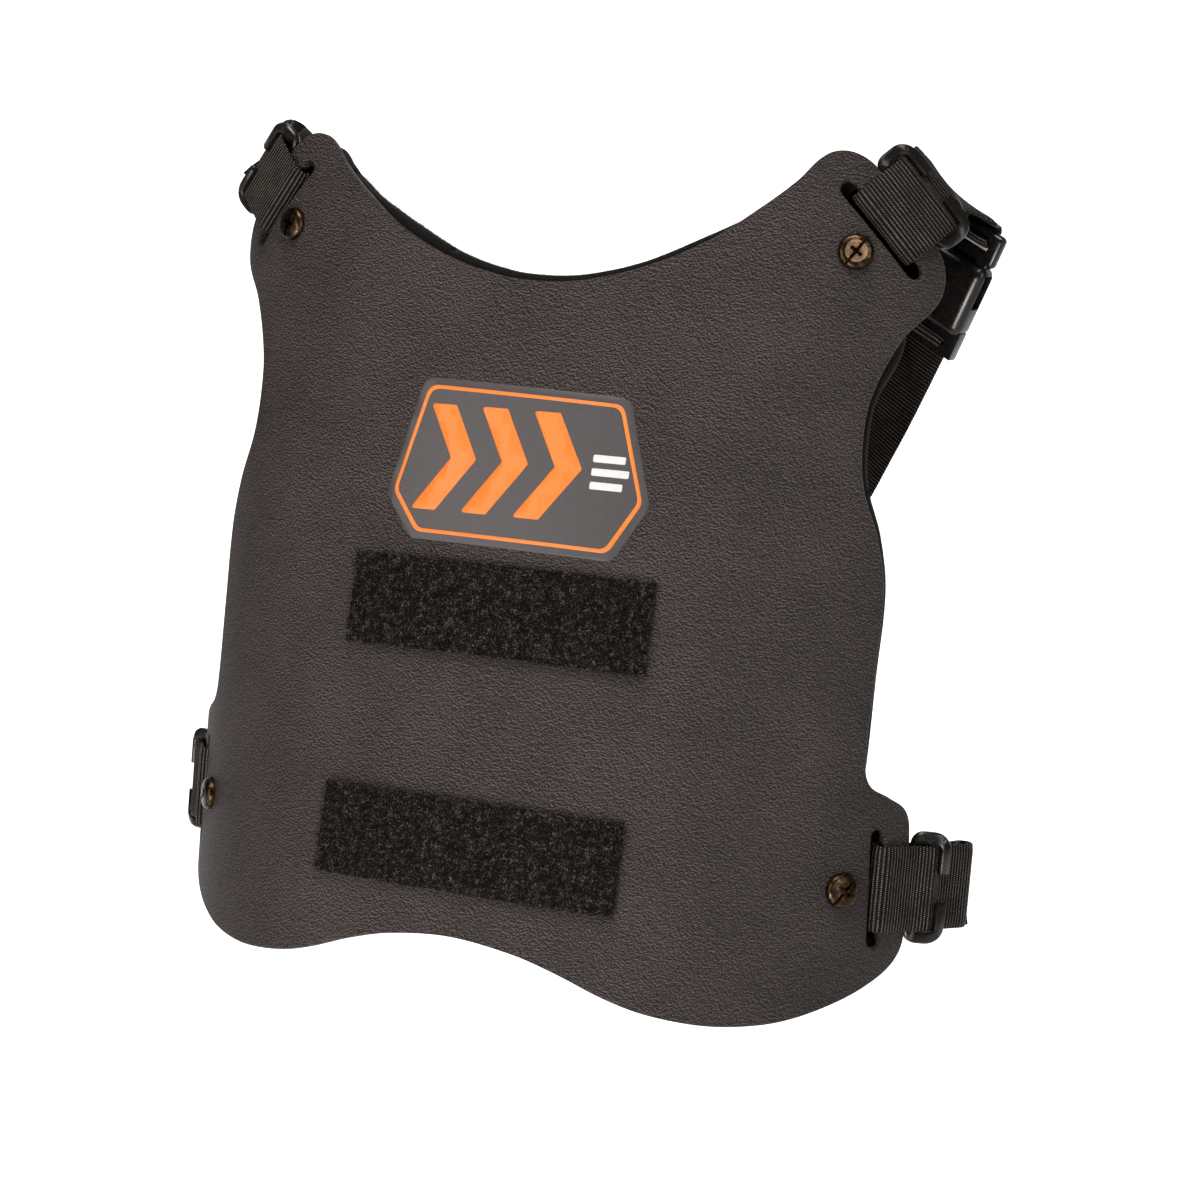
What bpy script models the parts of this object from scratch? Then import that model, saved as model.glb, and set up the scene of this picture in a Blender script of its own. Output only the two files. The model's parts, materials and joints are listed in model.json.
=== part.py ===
"""Chest protector: a moulded plate curved round the chest, a foam pad behind it, two loop
strips on its front, four screws, and a webbing harness with four split bar sliders and one
side release buckle.

World: metres, +Z up, the front faces -Y. The origin is the middle of the pad's back, where
it rests on the chest. Flat coordinates of the plate are "across", measured along its curved
front from the middle, "up", and "depth", measured inwards from the front face.
"""

import math

import bmesh
import bpy
from mathutils import Matrix, Vector

MM = 0.001
FIT_GAP = 0.3 * MM
MERGE_GAP = 0.01 * MM

# Plate
PLATE_HALF_WIDTH = 140 * MM
PLATE_HEIGHT = 253 * MM
PLATE_WALL = 3 * MM
PLATE_RIM_ROUND = 0.8 * MM
TURN_REACH = 120 * MM
WAIST_EVEN_TURN = math.radians(33)
WAIST_EDGE_TURN = math.radians(17)
SHOULDER_EVEN_TURN = math.radians(6)
SHOULDER_EDGE_TURN = math.radians(36)
TURN_LEVEL = 100 * MM
TURN_LEAST_LEVEL = -0.2
TURN_MOST_LEVEL = 1.2

# Foam pad
PAD_THICK = 8 * MM
PAD_REVEAL = 3 * MM
PAD_HEM_SET_BACK = 3 * MM
PAD_SLOT_CLEAR = 4.6 * MM
PAD_EDGE_ROUND = 1.2 * MM
PAD_FLAP_THICK = 3.6 * MM
PAD_FLAP_SET_BACK = 2.5 * MM
PAD_FLAP_HALF_LENGTH = 27 * MM

# Loop strips
STRIP_HALF_LENGTH = 48.5 * MM
STRIP_HEIGHT = 27 * MM
STRIP_THICK = 1.6 * MM
STRIP_COLUMNS = 5

# Webbing and the slots it passes
WEB_WIDTH = 25.4 * MM
WEB_THICK = 1.5 * MM
WEB_EASE = 0.4 * MM
WEB_REAR_EASE = 1.9 * MM
WEB_LAYER_GAP = 0.48 * MM
REAR_LEG_SHARE = 0.8
SLOT_WIDTH = 4.5 * MM
SLOT_SPARE_LENGTH = 9 * MM
SLOT_LENGTH = WEB_WIDTH + SLOT_SPARE_LENGTH
SLOT_BULGE_SHARE = 0.4

# Screws
SCREW_HEAD_RADIUS = 5.2 * MM
SCREW_FACE_RADIUS = 3.2 * MM
SCREW_HEAD_HEIGHT = 2.3 * MM
SCREW_DOME_SHARE = 0.8
SCREW_SKIRT_SHARE = 0.35
SCREW_SHANK_RADIUS = 2.4 * MM
SCREW_BITE = 5 * MM

# Sliders
SLIDER_BAR = 2.2 * MM
SLIDER_SIDE_EASE = 1.2 * MM
SLIDER_EDGE_GAP = 1.2 * MM
SLIDER_MIDDLE = 3.4 * MM
SLIDER_REACH = 7.6 * MM
SLIDER_MOUTH = 9 * MM
SLIDER_CORNER = 3 * MM
SLIDER_MIDDLE_SHARE = 0.94

# Side release buckle
BUCKLE_WIDTH = 34 * MM
BUCKLE_THICK = 8.5 * MM
BUCKLE_MALE_THICK = 3.4 * MM
BUCKLE_BAR = 3.2 * MM
BUCKLE_FRAME_ROUND = 0.57 * MM
BUCKLE_FRAME = 9 * MM
BUCKLE_SOCKET = 28.5 * MM
PLUG_SHARE = 0.72
PLUG_END_GAP = 0.6 * MM
BUCKLE_WALL = 1.9 * MM
BUCKLE_ARM = 3.4 * MM
BUCKLE_WINDOW = 11 * MM

# Harness behind the plate
HARNESS_INSET = 6 * MM
HARNESS_HALF_WIDTH = PLATE_HALF_WIDTH - HARNESS_INSET
HARNESS_DEPTH_SHARE = 0.886
HARNESS_DEPTH = PLATE_HALF_WIDTH * HARNESS_DEPTH_SHARE
HARNESS_CROSS_GAP = 3.2 * MM
BACK_FALL = 0.55
WAIST_FOLD_REACH = 38 * MM
WAIST_TAIL_REACH = 31 * MM
SHOULDER_TAIL_PAST_SLIDER = 2.4 * MM
SHOULDER_BEND_RADIUS = 7 * MM
SHOULDER_BEND_TURN = math.radians(62)
FOLD_RADIUS = 4.4 * MM
FOLD_TURN = math.radians(95)

FRONT_DEPTH = PLATE_WALL + FIT_GAP + PAD_THICK

# Half of the plate's outline, from the middle of the neck to the middle of the hem.
# Shares of PLATE_HALF_WIDTH and PLATE_HEIGHT; pad says how the pad follows that row.
OUTLINE_COLUMNS = ("across", "up", "pad")
OUTLINE_ROWS = (
    (0.000, 0.352, "shows"),
    (0.093, 0.356, "shows"),
    (0.221, 0.375, "shows"),
    (0.357, 0.411, "shows"),
    (0.457, 0.4525, "shows"),
    (0.529, 0.488, "shows"),
    (0.568, 0.514, "shoulder"),
    (0.600, 0.5255, "shoulder"),
    (0.643, 0.526, "shoulder"),
    (0.689, 0.513, "shoulder"),
    (0.764, 0.472, "shoulder"),
    (0.845, 0.429, "shoulder"),
    (0.864, 0.401, "shoulder"),
    (0.854, 0.3715, "shoulder"),
    (0.786, 0.324, "shows"),
    (0.736, 0.253, "shows"),
    (0.731, 0.198, "shows"),
    (0.746, 0.150, "shows"),
    (0.789, 0.099, "shows"),
    (0.819, 0.0395, "shows"),
    (0.825, -0.059, "shows"),
    (0.832, -0.158, "shows"),
    (0.850, -0.180, "waist"),
    (0.900, -0.190, "waist"),
    (0.950, -0.2016, "waist"),
    (0.970, -0.225, "waist"),
    (1.000, -0.348, "waist"),
    (0.979, -0.3775, "waist"),
    (0.914, -0.407, "waist"),
    (0.821, -0.4356, "hem"),
    (0.721, -0.4585, "hem"),
    (0.629, -0.470, "hem"),
    (0.539, -0.474, "hem"),
    (0.429, -0.4696, "hem"),
    (0.343, -0.4585, "hem"),
    (0.243, -0.440, "hem"),
    (0.143, -0.426, "hem"),
    (0.000, -0.418, "hem"),
)

# One row for each pair of webbing slots: centre as shares of PLATE_HALF_WIDTH and
# PLATE_HEIGHT, tilt of the slot from upright, distance in to the screw, and how far the
# webbing leans back past the plate's edge on the right and the left.
SLOT_COLUMNS = ("name", "across", "up", "tilt", "screw_inset", "lean")
SLOT_ROWS = (
    ("shoulder", 0.714, 0.443, 47, 10.0 * MM, {1: 29, -1: 14}),
    ("waist", 0.898, -0.296, 7, 11.8 * MM, {1: 0, -1: 0}),
)

# Loop strips: height of the middle as a share of PLATE_HEIGHT.
STRIP_ROWS = (("upper_loop_strip", -0.040), ("lower_loop_strip", -0.314))

# Back of the harness from a shoulder to the other side's waist: shares of
# HARNESS_HALF_WIDTH, HARNESS_DEPTH behind the plate's front, and PLATE_HEIGHT.
BACK_COLUMNS = ("across", "back", "up")
BACK_ROWS = (
    (0.50, 0.77, 0.170),
    (0.30, 0.925, 0.098),
    (0.00, 1.00, 0.016),
    (-0.28, 0.95, -0.110),
    (-0.50, 0.88, -0.215),
    (-0.71, 0.76, -0.277),
    (-0.88, 0.62, -0.290),
)
LEFT_SHOULDER_ROWS = (
    (0.84, 0.345, 0.508),
    (0.78, 0.470, 0.430),
    (0.64, 0.620, 0.285),
)
RIGHT_SHOULDER_ROWS = ((0.62, 0.630, 0.262),)

# The buckle hangs from its bar: bar centre in the same shares, and its directions.
BUCKLE_PLACE = (0.840, 0.355, 0.494)
BUCKLE_DOWN = Vector((-0.40, 0.405, -0.82)).normalized()
BUCKLE_ACROSS = Vector((0.86, -0.12, -0.49))

# Where the webbing meets and leaves each buckle bar, in degrees round it.
FRONT_WRAP = (-80, 170)
BACK_WRAP = (170, -10)

GRID_STEP = 10 * MM
ROW_STEP = 23 * MM
ARC_STEPS = 8
SPAN_STEPS = 2
ROUTE_STEPS = 5
WALK_STEPS = 10

COLOURS = {
    "shell": ((0.045, 0.038, 0.036, 1), 0.5, 0),
    "foam": ((0.012, 0.011, 0.010, 1), 0.95, 0),
    "loop": ((0.016, 0.014, 0.013, 1), 1.0, 0),
    "webbing": ((0.022, 0.019, 0.017, 1), 0.9, 0),
    "fitting": ((0.012, 0.011, 0.010, 1), 0.35, 0),
    "screw": ((0.28, 0.19, 0.13, 1), 0.3, 1),
}


def clear_scene():
    for thing in list(bpy.data.objects):
        bpy.data.objects.remove(thing, do_unlink=True)


def make_collection(name):
    group = bpy.data.collections.new(name)
    bpy.context.scene.collection.children.link(group)
    return group


def make_material(name):
    colour, roughness, metallic = COLOURS[name]
    material = bpy.data.materials.new(name)
    material.use_nodes = True
    shader = material.node_tree.nodes["Principled BSDF"]
    shader.inputs["Base Color"].default_value = colour
    shader.inputs["Roughness"].default_value = roughness
    shader.inputs["Metallic"].default_value = metallic
    return material


def turn_at(across, up):
    """Angle that the plate has turned back at a place, in radians."""
    level = min(max(0.5 + 0.5 * up / TURN_LEVEL, TURN_LEAST_LEVEL), TURN_MOST_LEVEL)
    even = WAIST_EVEN_TURN + (SHOULDER_EVEN_TURN - WAIST_EVEN_TURN) * level
    edge = WAIST_EDGE_TURN + (SHOULDER_EDGE_TURN - WAIST_EDGE_TURN) * level
    share = across / TURN_REACH
    return even * share + edge * share**3


def on_front(across, up):
    """World place of a flat place on the plate's front face."""
    x = 0.0
    y = -FRONT_DEPTH
    step = across / WALK_STEPS
    for index in range(WALK_STEPS):
        turn = turn_at(step * (index + 0.5), up)
        x += step * math.cos(turn)
        y += step * math.sin(turn)
    return Vector((x, y, up))


def plate_frame(across, up):
    """Place, sideways, upward and outward directions of the plate's front."""
    turn = turn_at(across, up)
    sideways = Vector((math.cos(turn), math.sin(turn), 0))
    upward = on_front(across, up + MM / 2) - on_front(across, up - MM / 2)
    outward = sideways.cross(upward).normalized()
    return on_front(across, up), sideways, outward.cross(sideways), outward


def on_plate(across, up, depth=0.0):
    """World place of a flat place inside the plate, or in front of it at a negative depth."""
    place, _, _, outward = plate_frame(across, up)
    return place - outward * depth


def mirrored(vector, side):
    return Vector((side * vector.x, vector.y, vector.z))


def smooth_line(points, steps, closed=False):
    """Points of a smooth curve through the given points, with steps spans between two."""
    count = len(points)
    spans = count if closed else count - 1
    line = []
    for index in range(spans):
        if closed:
            near = [points[(index + k) % count] for k in (-1, 0, 1, 2)]
        else:
            near = [points[min(max(index + k, 0), count - 1)] for k in (-1, 0, 1, 2)]
        before, start, end, after = near
        reach = (end - start).length
        leave = (end - before).normalized() * reach
        arrive = (after - start).normalized() * reach
        for step in range(steps):
            t = step / steps
            line.append(
                start * (2 * t**3 - 3 * t**2 + 1)
                + leave * (t**3 - 2 * t**2 + t)
                + end * (3 * t**2 - 2 * t**3)
                + arrive * (t**3 - t**2)
            )
    if not closed:
        line.append(points[-1].copy())
    return line


def outline_rows():
    rows = []
    for row in OUTLINE_ROWS:
        cell = dict(zip(OUTLINE_COLUMNS, row))
        place = Vector((cell["across"] * PLATE_HALF_WIDTH, cell["up"] * PLATE_HEIGHT))
        rows.append((place, cell["pad"]))
    return rows


def whole_outline(half):
    """Closed outline from its right half, which starts and ends on the middle line."""
    left = [Vector((-place.x, place.y)) for place in reversed(half[1:-1])]
    return smooth_line(half + left, SPAN_STEPS, closed=True)


def plate_reach(centre, outward, along):
    """How far the plate goes outwards from a slot, over the width of the slider."""
    half = WEB_WIDTH / 2 + SLIDER_SIDE_EASE + SLIDER_BAR
    offsets = [place - centre for place in whole_outline([row[0] for row in outline_rows()])]
    return max(offset.dot(outward) for offset in offsets if abs(offset.dot(along)) < half)


def slots():
    """Each of the four slots with its place, directions and sizes in flat coordinates."""
    found = []
    for row in SLOT_ROWS:
        cell = dict(zip(SLOT_COLUMNS, row))
        tilt = math.radians(cell["tilt"])
        centre = Vector((cell["across"] * PLATE_HALF_WIDTH, cell["up"] * PLATE_HEIGHT))
        outward = Vector((math.cos(tilt), math.sin(tilt)))
        along = Vector((math.sin(tilt), -math.cos(tilt)))
        for side, hand in ((1, "right"), (-1, "left")):
            found.append(
                {
                    "name": cell["name"],
                    "hand": hand,
                    "side": side,
                    "centre": centre,
                    "outward": outward,
                    "along": along,
                    "margin": plate_reach(centre, outward, along),
                    "screw": centre - outward * cell["screw_inset"],
                    "lean": math.radians(cell["lean"][side]),
                }
            )
    return found


def pad_half_outline():
    """The pad shows beyond the plate at the neck and arms, and is hidden elsewhere."""
    rows = outline_rows()
    reach = {
        "shows": PAD_REVEAL,
        "hem": -PAD_HEM_SET_BACK,
        "shoulder": -PAD_FLAP_SET_BACK,
        "waist": -PAD_FLAP_SET_BACK,
    }
    half = []
    for index, (place, follow) in enumerate(rows):
        before = rows[max(index - 1, 0)][0]
        after = rows[min(index + 1, len(rows) - 1)][0]
        run = (after - before).normalized()
        outward = Vector((-run.y, run.x))
        if place.x == 0:
            outward = Vector((0, 1 if place.y > 0 else -1))
        half.append(place + outward * reach[follow])
    return half


def flap_outline(slot):
    """Where the pad thins to a flap, so that the webbing can pass between it and the plate."""
    near = slot["centre"] - slot["outward"] * PAD_SLOT_CLEAR
    far = slot["centre"] + slot["outward"] * (slot["margin"] + PAD_SLOT_CLEAR)
    reach = slot["along"] * PAD_FLAP_HALF_LENGTH
    corners = (near - reach, near + reach, far + reach, far - reach)
    return [Vector((slot["side"] * place.x, place.y)) for place in corners]


def mesh_object(name, mesh, group, material=None):
    made = bpy.data.objects.new(name, mesh)
    group.objects.link(made)
    if material:
        mesh.materials.clear()
        mesh.materials.append(material)
    return made


def prism(name, outline, near, far, group):
    """A solid with this flat outline, between two depths."""
    work = bmesh.new()
    corners = [work.verts.new((place.x, near, place.y)) for place in outline]
    face = work.faces.new(corners)
    grown = bmesh.ops.extrude_face_region(work, geom=[face])
    for item in grown["geom"]:
        if isinstance(item, bmesh.types.BMVert):
            item.co.y = far
    bmesh.ops.recalc_face_normals(work, faces=work.faces)
    mesh = bpy.data.meshes.new(name)
    work.to_mesh(mesh)
    work.free()
    return mesh_object(name, mesh, group)


def blank(name, half_width, low, high, near, far, group, step=GRID_STEP):
    """A flat slab on a grid, fine enough to be bent."""
    columns = 2 * math.ceil(half_width / step)
    rows = max(1, round((high - low) / ROW_STEP))
    work = bmesh.new()
    bmesh.ops.create_grid(work, x_segments=columns, y_segments=rows, size=1)
    for vert in work.verts:
        up = low + (vert.co.y + 1) / 2 * (high - low)
        vert.co = Vector((vert.co.x * columns / 2 * step, near, up))
    grown = bmesh.ops.extrude_face_region(work, geom=work.faces[:])
    for item in grown["geom"]:
        if isinstance(item, bmesh.types.BMVert):
            item.co.y = far
    bmesh.ops.recalc_face_normals(work, faces=work.faces)
    mesh = bpy.data.meshes.new(name)
    work.to_mesh(mesh)
    work.free()
    return mesh_object(name, mesh, group)


def boolean(made, cutter, operation):
    cutter.hide_render = True
    cutter.display_type = "WIRE"
    modifier = made.modifiers.new(operation.title(), "BOOLEAN")
    modifier.operation = operation
    modifier.object = cutter
    modifier.solver = "EXACT"


def settle(made):
    """Replaces an object's mesh by its evaluated one, without modifiers."""
    bpy.context.view_layer.update()
    graph = bpy.context.evaluated_depsgraph_get()
    mesh = bpy.data.meshes.new_from_object(made.evaluated_get(graph))
    made.modifiers.clear()
    made.data = mesh
    return made


def bend(made):
    """Bends a flat slab onto the plate's curve."""
    for vert in made.data.vertices:
        vert.co = on_plate(vert.co.x, vert.co.z, vert.co.y)
    made.data.update()


def round_rim(made, width, angle=60):
    modifier = made.modifiers.new("Rim", "BEVEL")
    modifier.width = width
    modifier.segments = 1
    modifier.limit_method = "ANGLE"
    modifier.angle_limit = math.radians(angle)
    modifier.use_clamp_overlap = True


def slot_outline(slot):
    """Long hole with round ends, on its own side of the plate."""
    radius = SLOT_WIDTH / 2
    straight = SLOT_LENGTH / 2 - radius
    places = []
    for sign in (1, -1):
        for step in range(ARC_STEPS + 1):
            angle = math.pi * step / ARC_STEPS
            offset = slot["outward"] * math.cos(angle) + slot["along"] * math.sin(angle)
            places.append(slot["centre"] + (slot["along"] * straight + offset * radius) * sign)
    return [Vector((slot["side"] * place.x, place.y)) for place in places]


def round_outline(centre, radius):
    count = 2 * ARC_STEPS
    return [
        centre + Vector((math.cos(t), math.sin(t))) * radius
        for t in (2 * math.pi * step / count for step in range(count))
    ]


def screw_centre(slot):
    return Vector((slot["side"] * slot["screw"].x, slot["screw"].y))


def make_shell(parts, cutters, material):
    half = [place for place, _ in outline_rows()]
    top = max(place.y for place in half) + FIT_GAP
    low = min(place.y for place in half) - FIT_GAP
    shell = blank("shell", PLATE_HALF_WIDTH, low, top, 0, PLATE_WALL, parts)
    reach = PLATE_WALL
    edge = prism("shell_outline", whole_outline(half), -reach, PLATE_WALL + reach, cutters)
    boolean(shell, edge, "INTERSECT")
    for slot in slots():
        label = f"{slot['name']}_{slot['hand']}"
        hole = prism(f"slot_{label}", slot_outline(slot), -reach, PLATE_WALL + reach, cutters)
        boolean(shell, hole, "DIFFERENCE")
        ring = round_outline(screw_centre(slot), SCREW_SHANK_RADIUS + FIT_GAP)
        bore = prism(f"bore_{label}", ring, -reach, PLATE_WALL + reach, cutters)
        boolean(shell, bore, "DIFFERENCE")
    round_rim(shell, PLATE_RIM_ROUND)
    settle(shell)
    bend(shell)
    shell.data.materials.clear()
    shell.data.materials.append(material)
    return shell


def make_pad(parts, cutters, material):
    half = pad_half_outline()
    near = PLATE_WALL + FIT_GAP
    far = near + PAD_THICK
    top = max(place.y for place in half) + PAD_REVEAL
    low = min(place.y for place in half) - PAD_REVEAL
    wide = max(place.x for place in half) + PAD_REVEAL
    pad = blank("pad", wide, low, top, near, far, parts)
    edge = prism("pad_outline", whole_outline(half), 0, far + PLATE_WALL, cutters)
    boolean(pad, edge, "INTERSECT")
    for slot in slots():
        ring = round_outline(screw_centre(slot), SCREW_SHANK_RADIUS + FIT_GAP)
        label = f"pad_bore_{slot['name']}_{slot['hand']}"
        bore = prism(label, ring, 0, near + SCREW_BITE + FIT_GAP, cutters)
        boolean(pad, bore, "DIFFERENCE")
    round_rim(pad, PAD_EDGE_ROUND)
    for slot in slots():
        label = f"pad_flap_{slot['name']}_{slot['hand']}"
        room = prism(label, flap_outline(slot), 0, far - PAD_FLAP_THICK, cutters)
        boolean(pad, room, "DIFFERENCE")
    settle(pad)
    bend(pad)
    pad.data.materials.append(material)
    return pad


def make_strips(parts, material):
    for name, share in STRIP_ROWS:
        middle = share * PLATE_HEIGHT
        low = middle - STRIP_HEIGHT / 2
        high = middle + STRIP_HEIGHT / 2
        step = STRIP_HALF_LENGTH / STRIP_COLUMNS
        near = -(FIT_GAP + STRIP_THICK)
        strip = blank(name, STRIP_HALF_LENGTH, low, high, near, -FIT_GAP, parts, step)
        bend(strip)
        strip.data.materials.append(material)


def make_screws(parts, material):
    for slot in slots():
        centre = screw_centre(slot)
        place, sideways, upward, outward = plate_frame(centre.x, centre.y)
        tip = PLATE_WALL + FIT_GAP + SCREW_BITE
        profile = (
            (0, SCREW_HEAD_HEIGHT),
            (SCREW_FACE_RADIUS, SCREW_HEAD_HEIGHT),
            ((SCREW_FACE_RADIUS + SCREW_HEAD_RADIUS) / 2, SCREW_DOME_SHARE * SCREW_HEAD_HEIGHT),
            (SCREW_HEAD_RADIUS, SCREW_SKIRT_SHARE * SCREW_HEAD_HEIGHT),
            (SCREW_HEAD_RADIUS, FIT_GAP),
            (SCREW_SHANK_RADIUS, FIT_GAP),
            (SCREW_SHANK_RADIUS, -tip),
            (0, -tip),
        )
        name = f"{slot['name']}_screw_{slot['hand']}"
        mesh = bpy.data.meshes.new(name)
        points = [(radius, 0, height) for radius, height in profile]
        mesh.from_pydata(points, [(k, k + 1) for k in range(len(points) - 1)], [])
        screw = mesh_object(name, mesh, parts, material)
        modifier = screw.modifiers.new("Turn", "SCREW")
        modifier.steps = 2 * ARC_STEPS
        modifier.render_steps = 2 * ARC_STEPS
        modifier.use_merge_vertices = True
        modifier.merge_threshold = MERGE_GAP
        turn = Matrix((sideways, upward, outward)).transposed()
        screw.matrix_world = Matrix.Translation(place) @ turn.to_4x4()


class Corner:
    """The webbing's own flat frame at a slot: u outwards, v along the slot, n off the front."""

    def __init__(self, slot):
        self.slot = slot
        self.margin = slot["margin"]
        self.inner = self.margin + SLIDER_EDGE_GAP + SLIDER_BAR / 2
        self.middle = self.inner + SLIDER_MIDDLE
        self.outer = self.inner + SLIDER_REACH
        rest = slot["centre"] + slot["outward"] * (self.margin / 2)
        place, sideways, upward, outward = plate_frame(rest.x, rest.y)
        flat = slot["outward"]
        self.run = (sideways * flat.x + upward * flat.y).normalized()
        self.off = outward
        self.along = self.run.cross(self.off).normalized()
        self.start = place - self.run * (self.margin / 2)
        lean = Matrix.Rotation(-slot["lean"], 3, self.along)
        self.late_run = lean @ self.run
        self.late_off = lean @ self.off
        self.edge = self.start + self.run * self.margin

    def at(self, u, n, v=0.0):
        if u <= self.margin:
            place = self.start + self.run * u + self.off * n
        else:
            place = self.edge + self.late_run * (u - self.margin) + self.late_off * n
        return mirrored(place + self.along * v, self.slot["side"])

    def width(self):
        return mirrored(self.along, self.slot["side"])


def corners():
    return {(slot["name"], slot["side"]): Corner(slot) for slot in slots()}


FRONT_LEG = WEB_EASE + WEB_THICK / 2
REAR_LEG = -(PLATE_WALL + WEB_REAR_EASE + WEB_THICK / 2)
INNER_BAR_OFF = -PLATE_WALL / 2
OUTER_BAR_OFF = FRONT_LEG + WEB_THICK / 2 + FIT_GAP + SLIDER_BAR / 2


def middle_bar_off():
    return INNER_BAR_OFF + (OUTER_BAR_OFF - INNER_BAR_OFF) * SLIDER_MIDDLE / SLIDER_REACH


def loop_path(corner, tail_reach):
    """From the tail's end, behind the plate's edge, through the slot and out to the slider."""
    over = middle_bar_off() + SLIDER_BAR / 2 + WEB_EASE + WEB_THICK / 2
    under = WEB_THICK + WEB_LAYER_GAP
    after = FRONT_LEG - under
    pinch = SLOT_WIDTH / 2 + FIT_GAP
    path = [
        (tail_reach, after),
        ((tail_reach + corner.outer) / 2, after),
        (corner.outer, after),
        (corner.middle, middle_bar_off() - SLIDER_BAR / 2 - WEB_EASE - WEB_THICK / 2),
        (corner.inner, INNER_BAR_OFF - SLIDER_BAR / 2 - WEB_EASE - WEB_THICK / 2),
        (REAR_LEG_SHARE * corner.margin, REAR_LEG),
    ]
    middle = (FRONT_LEG + REAR_LEG) / 2
    tall = (FRONT_LEG - REAR_LEG) / 2
    bulge = WEB_THICK / 2 + SLOT_WIDTH * SLOT_BULGE_SHARE
    for step in range(ARC_STEPS + 1):
        angle = math.pi * step / ARC_STEPS
        path.append((pinch - math.sin(angle) * bulge, middle - math.cos(angle) * tall))
    path += [
        ((corner.margin + pinch) / 2, FRONT_LEG),
        (corner.margin, FRONT_LEG),
        (corner.middle, over),
        (corner.outer, FRONT_LEG),
    ]
    return path


def route_place(row, side):
    cell = dict(zip(BACK_COLUMNS, row))
    x = side * cell["across"] * HARNESS_HALF_WIDTH
    y = cell["back"] * HARNESS_DEPTH - FRONT_DEPTH
    return Vector((x, y, cell["up"] * PLATE_HEIGHT))


def ribbon(name, stations, parts, material):
    """Webbing through stations of centre and width direction."""
    work = bmesh.new()
    edges = []
    for index, (centre, width) in enumerate(stations):
        before = stations[max(index - 1, 0)][0]
        after = stations[min(index + 1, len(stations) - 1)][0]
        run = (after - before).normalized()
        across = (width - run * width.dot(run)).normalized() * (WEB_WIDTH / 2)
        edges.append((work.verts.new(centre - across), work.verts.new(centre + across)))
    for (a, b), (c, d) in zip(edges, edges[1:]):
        work.faces.new((a, b, d, c))
    mesh = bpy.data.meshes.new(name)
    work.to_mesh(mesh)
    work.free()
    strap = mesh_object(name, mesh, parts, material)
    modifier = strap.modifiers.new("Thickness", "SOLIDIFY")
    modifier.thickness = WEB_THICK
    modifier.offset = 0
    modifier.use_even_offset = True
    return strap


def smooth_stations(stations):
    centres = smooth_line([centre for centre, _ in stations], ROUTE_STEPS)
    made = []
    for index, centre in enumerate(centres):
        part = min(index // ROUTE_STEPS, len(stations) - 2)
        share = index / ROUTE_STEPS - part
        first = stations[part][1].normalized()
        second = stations[part + 1][1].normalized()
        made.append((centre, first.lerp(second, share)))
    return made


def loop_stations(corner, tail_reach):
    width = corner.width()
    return [(corner.at(u, n), width) for u, n in loop_path(corner, tail_reach)]


def fold_stations(corner, straight, radius, turn):
    """The bend where a strap leaves the front and turns to the back."""
    stations = []
    for step in range(ARC_STEPS // 2 + 1):
        angle = turn * step / (ARC_STEPS // 2)
        u = straight + radius * math.sin(angle)
        n = FRONT_LEG - radius * (1 - math.cos(angle))
        stations.append((corner.at(u, n), corner.width()))
    return stations


def waist_stations(corner):
    stations = loop_stations(corner, WAIST_TAIL_REACH)
    straight = WAIST_FOLD_REACH - FOLD_RADIUS
    for reached in (corner.outer + SLIDER_MIDDLE, (corner.outer + straight) / 2):
        stations.append((corner.at(reached, FRONT_LEG), corner.width()))
    return stations + fold_stations(corner, straight, FOLD_RADIUS, FOLD_TURN)


def shoulder_stations(corner):
    stations = loop_stations(corner, corner.outer + SHOULDER_TAIL_PAST_SLIDER)
    straight = corner.outer + SLIDER_BAR
    return stations + fold_stations(
        corner, straight, SHOULDER_BEND_RADIUS, SHOULDER_BEND_TURN
    )


def back_stations(side, offset):
    """The harness behind, from this side's shoulder to the other side's waist."""
    down_and_over = Vector((-side, 0, -BACK_FALL))
    width = Vector((0, 1, 0)).cross(down_and_over).normalized()
    stations = []
    for row in BACK_ROWS:
        place = route_place(row, side)
        stations.append((place + Vector((0, offset, 0)), width))
    return stations


def make_left_strap(parts, material, corner):
    """Left shoulder loop, over the shoulder, across the back to the right waist loop."""
    start = corner["shoulder", -1]
    finish = corner["waist", 1]
    first = shoulder_stations(start)
    last = list(reversed(waist_stations(finish)))
    width = first[-1][1]
    back = back_stations(-1, HARNESS_CROSS_GAP)
    if width.dot(back[0][1]) < 0:
        back = [(place, -across) for place, across in back]
    over = []
    for index, row in enumerate(LEFT_SHOULDER_ROWS):
        share = (index + 1) / (len(LEFT_SHOULDER_ROWS) + 1)
        over.append((route_place(row, -1), width.lerp(back[0][1], share)))
    if back[-1][1].dot(last[0][1]) < 0:
        last = [(place, -across) for place, across in last]
    middle = smooth_stations([first[-1]] + over + back + [last[0]])
    ribbon("webbing_left_shoulder", first + middle[1:-1] + last, parts, material)


def buckle_frame():
    bar = route_place(BUCKLE_PLACE, 1)
    across = (BUCKLE_ACROSS - BUCKLE_DOWN * BUCKLE_ACROSS.dot(BUCKLE_DOWN)).normalized()
    face = across.cross(BUCKLE_DOWN).normalized()
    return bar, across, face


def bar_wrap(bar, window, face, across, first, last):
    """Webbing round a bar, between two angles from its outer face towards its window."""
    corner = math.hypot(BUCKLE_BAR, BUCKLE_MALE_THICK) / 2
    reach = corner + FIT_GAP + WEB_THICK / 2
    stations = []
    steps = max(2, round(abs(last - first) / 180 * ARC_STEPS))
    for step in range(steps + 1):
        angle = math.radians(first + (last - first) * step / steps)
        offset = face * math.cos(angle) * reach + window * math.sin(angle) * reach
        stations.append((bar + offset, across))
    return stations


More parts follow.
